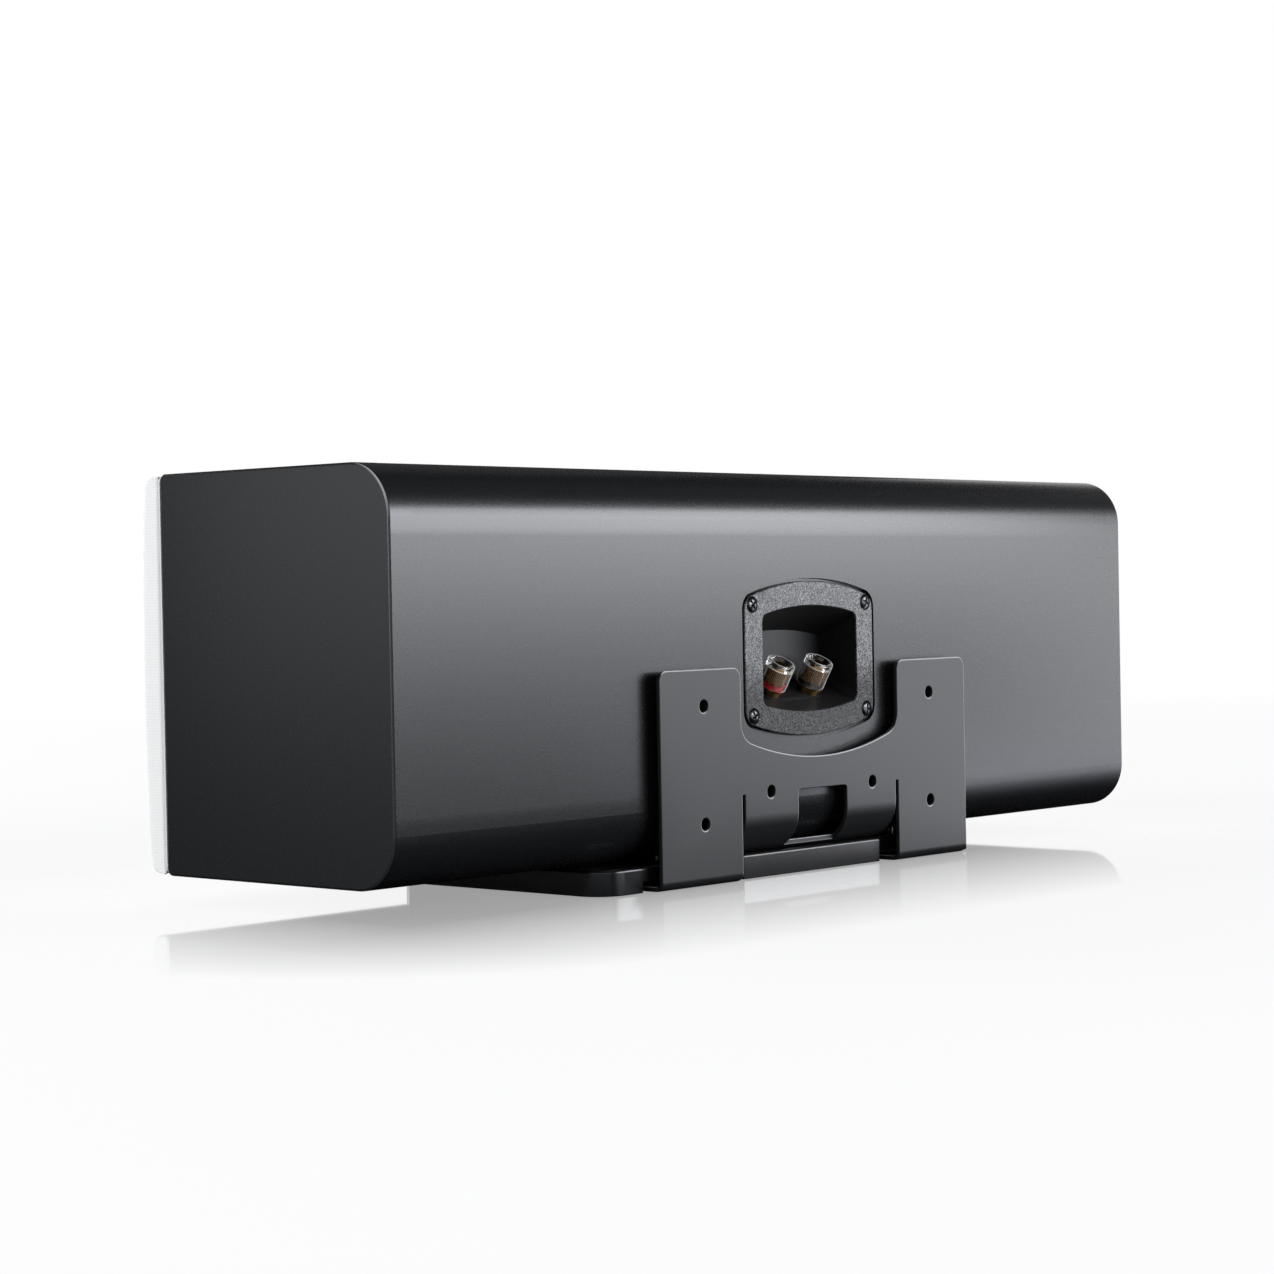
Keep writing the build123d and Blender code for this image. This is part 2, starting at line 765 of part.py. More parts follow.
def terminal_screws():
    seat = cup_face - cup_counterbore_depth
    screws = []
    for x, z in cup_screw_places():
        head = rearward_rod(x, z, cup_screw_head_radius, seat, seat + cup_screw_head_height)
        head = fillet(head.edges().group_by(Axis.Y)[-1], cup_screw_head_round)
        screws.append(head + rearward_rod(x, z, cup_screw_radius, cabinet_rear - cup_screw_grip, seat))
    return Compound(screws)


def post_stud():
    """Hollow stud that takes a plug from above, with a collar on the pad and a tail for the nut."""
    low = -post_boss_depth - stud_tail
    collar = stud_collar_height
    socket_floor_height = stud_height - socket_depth
    return turned([
        (0, low), (stud_radius, low), (stud_radius, 0), (stud_collar_radius, 0),
        (stud_collar_radius, collar), (stud_radius, collar), (stud_radius, stud_height),
        (socket_radius, stud_height), (socket_radius, socket_floor_height), (0, socket_floor_height),
    ])


washer_low = stud_collar_height + washer_gap
cap_low = washer_low + washer_thickness + washer_gap
core_top = cap_low + cap_height - cap_top_thickness - glue_gap
core_bore = stud_radius + post_clearance


def post_washer():
    return tube(stud_radius + washer_play, washer_radius, washer_low, washer_low + washer_thickness)


def post_cap():
    """Clear moulded cap, dished at the top round the plug socket."""
    inner = cap_radius - cap_wall
    top = cap_low + cap_height
    roof = top - cap_top_thickness
    outline = make_face(Polyline(
        (inner, cap_low), (cap_radius, cap_low), (cap_radius, top), (cap_dish_radius, top),
        (cap_dish_radius - cap_wall, top - cap_dish_depth), (core_bore, top - cap_dish_depth),
        (core_bore, roof), (inner, roof), close=True))
    rims = [corners(outline, cap_radius, top), corners(outline, cap_dish_radius, top)]
    outline = fillet(rims, cap_edge_round)
    outline = fillet(corners(outline, cap_radius, cap_low), cap_wall / 2)
    return revolve(Plane.XZ * outline, Axis.Z)


def post_core():
    """Knurled brass insert that carries the cap's thread."""
    core = tube(core_bore, core_radius, cap_low, core_top)
    flute = Pos(0, 0, (cap_low + core_top) / 2) * Cylinder(core_flute_radius, core_top - cap_low)
    return core - Compound([place * flute for place in PolarLocations(core_radius, core_flute_count)])


def post_ring():
    """Coloured band inside the foot of the cap."""
    return tube(core_radius + glue_gap, cap_radius - cap_wall - glue_gap, cap_low, cap_low + ring_height)


def post_tags():
    """Solder tags under the bosses, each with its tail turned into the cabinet."""
    high = -post_boss_depth
    middle = high - tag_thickness / 2
    tags = []
    for side in (-1, 1):
        eye = Pos(0, 0, middle) * Cylinder(tag_ring_radius, tag_thickness)
        eye += Pos(0, -tag_length / 2, middle) * Box(tag_width, tag_length, tag_thickness)
        eye -= Pos(0, 0, middle) * Cylinder(stud_radius + post_clearance, tag_thickness)
        tags.append(post_axis(side) * eye)
    return Compound(tags)


def post_nuts():
    high = -post_boss_depth - tag_thickness
    hexagon = RegularPolygon(nut_flats / 2, 6, major_radius=False) - Circle(stud_radius + post_clearance)
    nut = extrude(Plane.XY.offset(high) * hexagon, -nut_height)
    return Compound([post_axis(side) * nut for side in (-1, 1)])


def fold(bottom, reach, bend_radius):
    """Side view of a strip that comes down the back and turns forward at the bottom."""
    front = cabinet_rear - reach
    upper = bottom + sheet_thickness
    outline = make_face(Polyline(
        (bracket_rear, bottom), (front, bottom), (front, upper), (bracket_front, upper),
        (bracket_front, bracket_height), (bracket_rear, bracket_height), close=True))
    outline = fillet(corners(outline, bracket_rear, bottom), bend_radius)
    return fillet(corners(outline, bracket_front, upper), bend_radius - sheet_thickness)


def mounting_bracket():
    """One folded sheet: two wings on feet, a middle flange under the cabinet, holes and window."""
    half = bracket_width / 2
    inner = wing_inner_gap / 2
    wing = fold(0.0, foot_reach, wing_bend_radius)
    middle = fold(flange_bottom, flange_reach, flange_bend_radius)
    middle_half = inner - slit_width
    bracket = extrude(across(-middle_half) * middle, 2 * middle_half)
    bracket += extrude(across(-half) * wing, half - inner)
    bracket += extrude(across(inner) * wing, half - inner)
    bracket += block((-half, half), (bracket_front, bracket_rear), (slit_top, bracket_height))
    side_top = cutout_bottom + cutout_arch
    above = bracket_height + cutout_arch
    opening = make_face([
        ThreePointArc((-inner, side_top), (0, cutout_bottom), (inner, side_top)),
        Line((inner, side_top), (inner, above)),
        Line((inner, above), (-inner, above)),
        Line((-inner, above), (-inner, side_top)),
    ])
    low_corners = [corners(opening, -inner, side_top), corners(opening, inner, side_top)]
    opening = fillet(low_corners, cutout_corner_radius)
    bracket -= extrude(facing_rear(bracket_front) * opening, sheet_thickness)
    window_front = cabinet_rear - window_reach
    window = block((-window_width / 2, window_width / 2), (window_front, bracket_rear),
                   (flange_bottom, window_top))
    top_edges = window.edges().filter_by(Axis.Y).group_by(Axis.Z)[-1]
    bracket -= fillet(top_edges, window_corner_radius)
    hole_places = [(side * middle_hole_spacing / 2, middle_hole_height) for side in (-1, 1)]
    for side in (-1, 1):
        for rise in (0, 1):
            height = wall_hole_bottom + rise * wall_hole_spacing_z
            hole_places.append((side * wall_hole_spacing_x / 2, height))
    for x, z in hole_places:
        bracket -= rearward_rod(x, z, wall_hole_radius, bracket_front, bracket_rear)
    for x, y in base_screw_places():
        hole = Cylinder(base_screw_radius + screw_clearance, cabinet_bottom)
        bracket -= Pos(x, y, cabinet_bottom / 2) * hole
        if abs(x) > inner:
            bracket -= screw_sink(x, y)
    top_edges = [
        edge for edge in bracket.edges().filter_by(Axis.Y)
        if abs(edge.center().Z - bracket_height) < glue_gap
    ]
    return fillet(top_edges, bracket_corner_radius)


def screw_sink(x, y):
    """Conical seat for a countersunk head, open at the floor."""
    large = base_screw_head_radius + screw_clearance
    small = base_screw_radius + screw_clearance
    return Pos(x, y, sheet_thickness / 2) * Cone(large, small, sheet_thickness)


def base_plate():
    """Flat foot with slots below for the bracket's feet and a shallow seat on top for its flange."""
    front = cabinet_rear - base_depth
    half = base_width / 2
    plate = block((base_offset - half, base_offset + half), (front, cabinet_rear), (0, base_thickness))
    plate = fillet(plate.edges().filter_by(Axis.Z), base_corner_radius)
    plate = fillet(plate.faces().sort_by(Axis.Z)[-1].edges(), base_edge_round)
    seat_half = wing_inner_gap / 2 - slit_width + slot_clearance
    seat_front = cabinet_rear - flange_reach - slot_clearance
    plate -= block((-seat_half, seat_half), (seat_front, cabinet_rear - flange_seat_lip),
                   (flange_bottom, base_thickness))
    slot_front = cabinet_rear - foot_reach - slot_clearance
    for side in (-1, 1):
        notch = sorted((side * base_notch_inner, side * base_notch_outer))
        recess = sorted((side * base_notch_inner, side * base_recess_outer))
        plate -= block(notch, (slot_front, cabinet_rear), (0, sheet_thickness))
        plate -= block(notch, (cabinet_rear - base_mouth_depth, cabinet_rear), (0, base_mouth_height))
        plate -= block(recess, (cabinet_rear - base_recess_depth, cabinet_rear), (0, base_thickness))
    for x, y in base_screw_places():
        hole = Cylinder(base_screw_radius + screw_clearance, base_thickness)
        plate -= Pos(x, y, base_thickness / 2) * hole
        if abs(x) < base_notch_inner:
            plate -= screw_sink(x, y)
    return plate


def base_screws():
    """Countersunk screws from below into the cabinet's floor."""
    tip = cabinet_bottom + base_screw_grip
    screws = []
    for x, y in base_screw_places():
        head_height = sheet_thickness - base_screw_sink
        head = Pos(x, y, base_screw_sink + head_height / 2)
        slope = (base_screw_head_radius - base_screw_radius) / sheet_thickness
        head *= Cone(base_screw_head_radius - slope * base_screw_sink, base_screw_radius, head_height)
        length = tip - base_screw_sink
        shank = Pos(x, y, base_screw_sink + length / 2) * Cylinder(base_screw_radius, length)
        screws.append(head + shank)
    return Compound(screws)


def crossover_board():
    half_x = board_length / 2
    half_z = board_height / 2
    board = block((board_x - half_x, board_x + half_x), (board_front, inner_rear),
                  (axis_height - half_z, axis_height + half_z))
    for x, z in board_screw_places():
        board -= rearward_rod(x, z, board_screw_radius + screw_clearance, board_front, inner_rear)
    return board


def crossover_screws():
    head_top = board_front - board_screw_head_height
    screws = []
    for x, z in board_screw_places():
        head = rearward_rod(x, z, board_screw_head_radius, head_top, board_front)
        shank = rearward_rod(x, z, board_screw_radius, board_front, inner_rear + board_screw_grip)
        screws.append(head + shank)
    return Compound(screws)


def bass_coil():
    """Air-cored coil of enamelled wire, standing on the board."""
    low = board_front - bass_coil_height
    coil = rearward_rod(bass_coil_x, axis_height, bass_coil_radius, low, board_front)
    return coil - rearward_rod(bass_coil_x, axis_height, bass_coil_bore, low, board_front)


def capacitor(radius, length, z):
    """Round capacitor lying along the board."""
    y = board_front - radius - glue_gap
    can = Location((capacitor_x, y, z), (0, 90, 0)) * Cylinder(radius, length)
    return fillet(can.edges().filter_by(GeomType.CIRCLE), capacitor_edge_round)


def damping_wadding():
    """Blanket of wadding under the cabinet's top."""
    half = inner_half_width - wadding_end_gap
    high = axis_height + inner_half_height - glue_gap
    return block((-half, half), (cabinet_front + wadding_front_gap, inner_rear - rear_edge_radius),
                 (high - wadding_thickness, high))


def lead(points):
    """Insulated lead along straight runs and tangent bends."""
    path = FilletPolyline(*points, radius=lead_bend)
    start = Plane(origin=path @ 0, z_dir=path % 0)
    return sweep(start * Circle(lead_radius), path)


def leads(rank):
    """Leads of one colour: cup to board, and board to each driver; rank sets them apart."""
    side = 1 if rank == 0 else -1
    shift = rank * lead_pitch
    tail = (post_axis(side) * Pos(0, -tag_length, -post_boss_depth - tag_thickness / 2)).position
    board_x_end = board_x - board_length / 2 + 2 * lead_pitch
    board_y = board_front - glue_gap
    cup_lane = tail.Y - 2 * lead_bend - shift
    driver_lane = tail.Y - 4 * lead_bend - lead_pitch

    def row(index):
        return axis_height + (index - 1.5) * lead_row + shift - lead_pitch / 2

    def run_to(index, x, y, z):
        start = (board_x_end, board_y, row(index))
        return lead([start, (board_x_end, driver_lane, row(index)), (x, driver_lane, z), (x, y, z)])

    cup_run = [(tail.X, tail.Y - glue_gap, tail.Z), (tail.X, cup_lane, tail.Z),
               (board_x_end, cup_lane, row(0)), (board_x_end, board_y, row(0))]
    tweeter_depth = dome_thickness + 2 * tweeter_plate_thickness + tweeter_magnet_thickness
    tweeter_y = cabinet_front + tweeter_depth + glue_gap
    woofer_y = cabinet_front + spider_depth + basket_wall + glue_gap
    woofer_x = woofer_spacing / 2 - lead_circle
    end_z = axis_height + shift - lead_pitch / 2
    return Compound([
        lead(cup_run),
        run_to(1, tweeter_plate_radius / 2, tweeter_y, end_z),
        run_to(2, woofer_x, woofer_y, end_z),
        run_to(3, -woofer_x, woofer_y, end_z),
    ])


def build():
    pieces = {
        "cabinet_wrap": cabinet_wrap(),
        "left_end_panel": end_panel(-1),
        "right_end_panel": end_panel(1),
        "front_baffle": front_baffle(),
        "front_bezel": front_bezel(),
        "grille_frame": grille_frame(),
        "grille_cloth": grille_cloth(),
        "grille_sockets": grille_sockets(),
    }
    woofer_screws = []
    for name, side in (("left", -1), ("right", 1)):
        x = side * woofer_spacing / 2
        basket = woofer_basket(side)
        basket -= screw_clearance_holes(woofer_screw_circle, woofer_flange_thickness)
        woofer = {
            "basket": basket,
            "surround": woofer_surround(),
            "cone": woofer_cone(),
            "dust_cap": woofer_dust_cap(),
            "spider": woofer_spider(),
            "voice_coil": woofer_voice_coil(),
            "top_plate": woofer_top_plate(),
            "magnet": woofer_magnet(),
            "yoke": woofer_yoke(),
        }
        for piece, solid in woofer.items():
            pieces[f"{name}_woofer_{piece}"] = on_front(x) * solid
        woofer_screws += driver_screws(x, woofer_screw_circle, woofer_flange_thickness)
    pieces["woofer_screws"] = Compound(woofer_screws)
    tweeter = {
        "faceplate": tweeter_faceplate(),
        "dome": tweeter_dome(),
        "top_plate": tweeter_top_plate(),
        "magnet": tweeter_magnet(),
        "yoke": tweeter_yoke(),
    }
    for piece, solid in tweeter.items():
        pieces[f"tweeter_{piece}"] = on_front(0) * solid
    pieces["tweeter_screws"] = Compound(driver_screws(0, tweeter_screw_circle, tweeter_flange_thickness))
    pieces["crossover_board"] = crossover_board()
    pieces["crossover_screws"] = crossover_screws()
    pieces["bass_coil"] = bass_coil()
    pieces["bass_capacitor"] = capacitor(bass_capacitor_radius, bass_capacitor_length,
                                         axis_height - capacitor_rise)
    pieces["treble_capacitor"] = capacitor(treble_capacitor_radius, treble_capacitor_length,
                                           axis_height + capacitor_rise)
    pieces["damping_wadding"] = damping_wadding()
    pieces["red_leads"] = leads(0)
    pieces["black_leads"] = leads(1)
    pieces["terminal_cup"] = terminal_cup()
    pieces["terminal_gasket"] = terminal_gasket()
    pieces["terminal_screws"] = terminal_screws()
    for colour, side in (("red", 1), ("black", -1)):
        post = {
            "stud": post_stud(),
            "washer": post_washer(),
            "cap": post_cap(),
            "core": post_core(),
            "ring": post_ring(),
        }
        for piece, solid in post.items():
            pieces[f"{colour}_post_{piece}"] = post_axis(side) * solid
    pieces["post_tags"] = post_tags()
    pieces["post_nuts"] = post_nuts()
    pieces["mounting_bracket"] = mounting_bracket()
    pieces["base_plate"] = base_plate()
    pieces["base_screws"] = base_screws()
    return pieces


os.makedirs("parts", exist_ok=True)
for node, solid in build().items():
    export_step(solid, f"parts/{node}.step")
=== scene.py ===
import json
from math import cos, hypot, pi, radians, sin

import bmesh
import bpy
from mathutils import Matrix, Vector


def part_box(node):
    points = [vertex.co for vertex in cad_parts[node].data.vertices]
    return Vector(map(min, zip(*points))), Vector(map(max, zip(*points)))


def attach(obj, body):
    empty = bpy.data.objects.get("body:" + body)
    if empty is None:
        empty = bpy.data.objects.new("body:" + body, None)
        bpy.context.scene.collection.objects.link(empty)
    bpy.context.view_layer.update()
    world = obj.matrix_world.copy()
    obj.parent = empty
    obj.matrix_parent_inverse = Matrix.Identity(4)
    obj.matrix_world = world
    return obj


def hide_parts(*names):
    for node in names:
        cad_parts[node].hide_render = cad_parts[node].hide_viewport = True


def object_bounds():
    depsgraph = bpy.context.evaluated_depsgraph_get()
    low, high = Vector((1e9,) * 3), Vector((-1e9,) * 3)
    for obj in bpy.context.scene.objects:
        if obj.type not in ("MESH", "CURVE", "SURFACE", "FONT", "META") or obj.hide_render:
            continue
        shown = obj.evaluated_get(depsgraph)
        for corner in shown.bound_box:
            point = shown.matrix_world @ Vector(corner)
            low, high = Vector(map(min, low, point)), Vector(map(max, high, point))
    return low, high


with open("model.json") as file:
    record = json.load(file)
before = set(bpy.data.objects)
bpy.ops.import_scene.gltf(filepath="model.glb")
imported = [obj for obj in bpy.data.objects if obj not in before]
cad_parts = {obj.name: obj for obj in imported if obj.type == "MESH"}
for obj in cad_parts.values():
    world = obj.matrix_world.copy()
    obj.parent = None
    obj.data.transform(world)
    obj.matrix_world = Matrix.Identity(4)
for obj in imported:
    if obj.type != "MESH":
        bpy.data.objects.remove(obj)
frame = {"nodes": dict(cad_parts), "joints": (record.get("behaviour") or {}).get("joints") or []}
cad_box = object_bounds()
solids = frame["nodes"]
mm = 0.001


# Cabinet: a bent wrap and two end panels of fibreboard under one satin black vinyl film.
# The film is pressed on hot, so it is smooth, and its fine grain spreads each reflection
# into a broad soft sheen. The ends are glued on and leave a hairline joint, and a painted highlight lightens
# their rim where it faces back and up.
def linear(code):
    """Linear RGBA of an sRGB hex colour."""
    channels = [int(code[start:start + 2], 16) / 255 for start in (1, 3, 5)]
    return [c / 12.92 if c <= 0.04045 else ((c + 0.055) / 1.055) ** 2.4 for c in channels] + [1.0]


def add(tree, kind, values=None, links=None, **settings):
    """Adds a node with its settings, its input values and the outputs that feed it."""
    node = tree.nodes.new(kind)
    for name, value in settings.items():
        setattr(node, name, value)
    for name, value in (values or {}).items():
        node.inputs[name].default_value = value
    for name, source in (links or {}).items():
        tree.links.new(source, node.inputs[name])
    return node


def begin(name, values):
    """A new material: the material, its tree, its shader and the object's coordinates."""
    made = bpy.data.materials.new(name)
    made.use_nodes = True
    tree = made.node_tree
    shader = tree.nodes["Principled BSDF"]
    for socket, value in values.items():
        shader.inputs[socket].default_value = value
    return made, tree, shader, add(tree, "ShaderNodeTexCoord").outputs["Object"]


def grained(name, dark, light, grain, roughness, relief, values=None):
    """A finish of two close tones in one grain, with the grain raised by its relief."""
    made, tree, shader, place = begin(name, values or {})
    noise = add(tree, "ShaderNodeTexNoise", {"Scale": 1 / grain, "Detail": 3.0}, {"Vector": place})
    tones = add(tree, "ShaderNodeMix", {6: linear(dark), 7: linear(light)},
                {0: noise.outputs["Fac"]}, data_type="RGBA")
    spread = 0.06
    gloss = add(tree, "ShaderNodeMapRange", {
        "To Min": (1 - spread) * roughness, "To Max": (1 + spread) * roughness},
        {"Value": noise.outputs["Fac"]})
    bump = add(tree, "ShaderNodeBump", {"Distance": relief}, {"Height": noise.outputs["Fac"]})
    tree.links.new(tones.outputs[2], shader.inputs["Base Color"])
    tree.links.new(gloss.outputs["Result"], shader.inputs["Roughness"])
    tree.links.new(bump.outputs["Normal"], shader.inputs["Normal"])
    return made


def dress(finish, *names):
    """Gives CAD solids a finish."""
    for name in names:
        solids[name].data.materials[0] = finish


wrap_low, wrap_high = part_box("cabinet_wrap")
cool_sheen = {"IOR": 1.5, "Specular Tint": linear("#F4F7FF")}
edge_round = 21.5 * mm
ease_width = 7.0 * mm
ease_depth = 0.5 * mm
foot_ease_depth = 0.35 * mm


def satin_vinyl():
    """The vinyl: normals eased where the flat rear runs into the rounded edges, and a painted highlight on
    the end panels' rim.
    """
    made = grained("satin_vinyl", "#131416", "#17181A", 0.6 * mm, 0.27, 0.0002 * mm, cool_sheen)
    tree = made.node_tree
    place = tree.nodes["Texture Coordinate"].outputs["Object"]
    height = add(tree, "ShaderNodeSeparateXYZ", None, {"Vector": place}).outputs["Z"]
    lower = wrap_low.z + edge_round
    upper = wrap_high.z - edge_round
    rise = add(tree, "ShaderNodeMapRange", {
        "From Min": lower - ease_width, "From Max": lower + ease_width}, {"Value": height},
        interpolation_type="SMOOTHSTEP")
    foot = add(tree, "ShaderNodeBump", {"Distance": foot_ease_depth}, {"Height": rise.outputs["Result"]})
    fall = add(tree, "ShaderNodeMapRange", {
        "From Min": upper - ease_width, "From Max": upper + ease_width, "To Min": 1.0, "To Max": 0.0},
        {"Value": height}, interpolation_type="SMOOTHSTEP")
    bump = add(tree, "ShaderNodeBump", {"Distance": ease_depth},
               {"Height": fall.outputs["Result"], "Normal": foot.outputs["Normal"]})
    facing = add(tree, "ShaderNodeNewGeometry")
    sideways = add(tree, "ShaderNodeSeparateXYZ", None, {"Vector": facing.outputs["True Normal"]})
    turned = add(tree, "ShaderNodeMath", None, {0: sideways.outputs["X"]}, operation="ABSOLUTE")
    on_end = add(tree, "ShaderNodeMath", {1: 0.5}, {0: turned.outputs[0]}, operation="GREATER_THAN")
    normal = add(tree, "ShaderNodeMix", None, {
        0: on_end.outputs[0], 4: bump.outputs["Normal"], 5: facing.outputs["Normal"]}, data_type="VECTOR")
    tree.links.new(normal.outputs[1], tree.nodes["Bump"].inputs["Normal"])
    lean = add(tree, "ShaderNodeSeparateXYZ", None, {"Vector": facing.outputs["Normal"]})
    # Painted highlight: the end panels' rim is lightened where it faces back and up.
    painted_rim_highlight = add(tree, "ShaderNodeMapRange", {"From Min": 0.5, "From Max": 0.65}, {"Value": turned.outputs[0]})
    for source, ends in (
            (turned.outputs[0], {"From Min": 0.85, "From Max": 0.95, "To Min": 1.0, "To Max": 0.0}),
            (lean.outputs["Y"], {"From Min": 0.05, "From Max": 0.3}),
            (lean.outputs["Z"], {"From Min": 0.0, "From Max": 0.3, "To Min": 0.06})):
        part = add(tree, "ShaderNodeMapRange", ends, {"Value": source})
        painted_rim_highlight = add(tree, "ShaderNodeMath", None, {0: painted_rim_highlight.outputs[0], 1: part.outputs[0]},
                  operation="MULTIPLY")
    # The pale grey of the painted rim highlight.
    tones = add(tree, "ShaderNodeMix", {7: linear("#A6A8AC")},
                {0: painted_rim_highlight.outputs[0], 6: tree.nodes["Mix"].outputs[2]}, data_type="RGBA")
    tree.links.new(tones.outputs[2], tree.nodes["Principled BSDF"].inputs["Base Color"])
    return made


cabinet_film = satin_vinyl()
dress(cabinet_film, "cabinet_wrap", "left_end_panel", "right_end_panel")


# Front baffle: a flat fibreboard panel glued into the cabinet's mouth and cut for the drivers.
# Bare sealed board: tan, dull, with short pressed fibres.
sealed_board = grained("sealed_fibreboard", "#5E4630", "#7C6045", 1.4 * mm, 0.7, 0.05 * mm)
dress(sealed_board, "front_baffle")


# Front bezel: a thin moulded ring between the cabinet and the grille.
# Light grey ABS, moulded with a fine spark-eroded texture and glued to the cabinet's edge.
grey_abs = grained("light_grey_abs", "#CBCDCF", "#D8DADC", 0.7 * mm, 0.45, 0.01 * mm)
dress(grey_abs, "front_bezel")


# Grille frame: one moulding of white ABS, open before each driver, with four pegs behind it.
# The pegs push into black rubber cups that are pressed into the baffle.
white_abs = grained("white_abs", "#D6D6D3", "#E4E4E1", 1.0 * mm, 0.5, 0.01 * mm)
dress(white_abs, "grille_frame")
black_rubber = grained("black_rubber", "#101011", "#1A1A1B", 0.8 * mm, 0.75, 0.02 * mm)
dress(black_rubber, "grille_sockets")


# Grille cloth: white woven polyester, cut as one sheet, stretched over the convex frame and
# glued behind its edge. The threads really are about 0.6 mm apart, and they are drawn
# at twice that, so that the weave shows in a picture of the whole speaker.
cloth_low, cloth_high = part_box("grille_cloth")
cloth_crown = 2.5 * mm
cloth_edge_round = 5.0 * mm
cloth_end_round = 3.0 * mm
cloth_thickness = 0.8 * mm
thread_pitch = 1.2 * mm
thread_relief = 0.07 * mm
slub_length = 5.0 * mm
side_steps = 4
edge_steps = 8
bow_steps = 48
end_steps = 6
half_columns = 60


def woven_cloth():
    """Plain weave: two sets of round threads that take turns on top, matt and slightly fuzzy, with painted
    shade between the threads and a random unevenness of tone.
    """
    made, tree, shader, place = begin("white_woven_polyester", {
        "Roughness": 0.85, "Sheen Weight": 0.25, "Sheen Roughness": 0.5})
    lengths = add(tree, "ShaderNodeUVMap", uv_map="cut").outputs["UV"]
    across = add(tree, "ShaderNodeSeparateXYZ", None, {"Vector": lengths})
    threads = []
    for axis in ("X", "Y"):
        turn = add(tree, "ShaderNodeMath", {1: pi / thread_pitch}, {0: across.outputs[axis]},
                   operation="MULTIPLY")
        wave = add(tree, "ShaderNodeMath", None, {0: turn.outputs[0]}, operation="SINE")
        round_top = add(tree, "ShaderNodeMath", None, {0: wave.outputs[0]}, operation="ABSOLUTE")
        threads.append((round_top, wave))
    crossing = add(tree, "ShaderNodeMath", None,
                   {0: threads[0][1].outputs[0], 1: threads[1][1].outputs[0]}, operation="MULTIPLY")
    over = add(tree, "ShaderNodeMapRange", {"From Min": -0.4, "From Max": 0.4},
               {"Value": crossing.outputs[0]})
    height = add(tree, "ShaderNodeMix", None, {
        0: over.outputs["Result"], 2: threads[0][0].outputs[0], 3: threads[1][0].outputs[0]})
    slub = add(tree, "ShaderNodeTexNoise", {"Scale": 1 / slub_length, "Detail": 2.0}, {"Vector": place})
    uneven = add(tree, "ShaderNodeMapRange", {"To Min": -0.12, "To Max": 0.12},
                 {"Value": slub.outputs["Fac"]})
    painted_shade_and_slub = add(tree, "ShaderNodeMath", None, {0: height.outputs[0], 1: uneven.outputs["Result"]},
                operation="ADD")
    # Painted shade darkens the hollows between threads, and the slub noise varies the tone at random.
    colour = add(tree, "ShaderNodeMix", {6: linear("#E4E6E7"), 7: linear("#F2F3F3")},
                 {0: painted_shade_and_slub.outputs[0]}, data_type="RGBA")
    bump = add(tree, "ShaderNodeBump", {"Distance": thread_relief, "Strength": 0.8},
               {"Height": height.outputs[0]})
    tree.links.new(colour.outputs[2], shader.inputs["Base Color"])
    tree.links.new(bump.outputs["Normal"], shader.inputs["Normal"])
    return made


def cloth_section():
    """Half-open outline of the stretched cloth in (y, z), from its lower back edge to the upper."""
    front = cloth_low.y
    edge = front + cloth_crown
    half = (cloth_high.z - cloth_low.z) / 2
    middle = (cloth_high.z + cloth_low.z) / 2
    radius = (half ** 2 + cloth_crown ** 2) / (2 * cloth_crown)
    side_depth = edge + cloth_edge_round - cloth_high.y
    lower = [(cloth_high.y + side_depth * step / side_steps, -half) for step in range(side_steps + 1)]
    corner = []
    for step in range(1, edge_steps + 1):
        turn = radians(90) * step / edge_steps
        y = edge + cloth_edge_round * (1 - sin(turn))
        corner.append((y, -half + cloth_edge_round * (1 - cos(turn))))
    inner_half = half - cloth_edge_round
    bow = []
    for step in range(1, bow_steps):
        z = -inner_half + 2 * inner_half * step / bow_steps
        y = front + radius - (radius ** 2 - z ** 2) ** 0.5
        blend = min(1.0, (inner_half - abs(z)) / (2 * cloth_edge_round))
        bow.append((min(edge, y) * blend + edge * (1 - blend) if blend < 1 else y, z))
    upper = [(y, -z) for y, z in reversed(lower + corner)]
    return [(y, z + middle) for y, z in lower + corner + bow + upper]


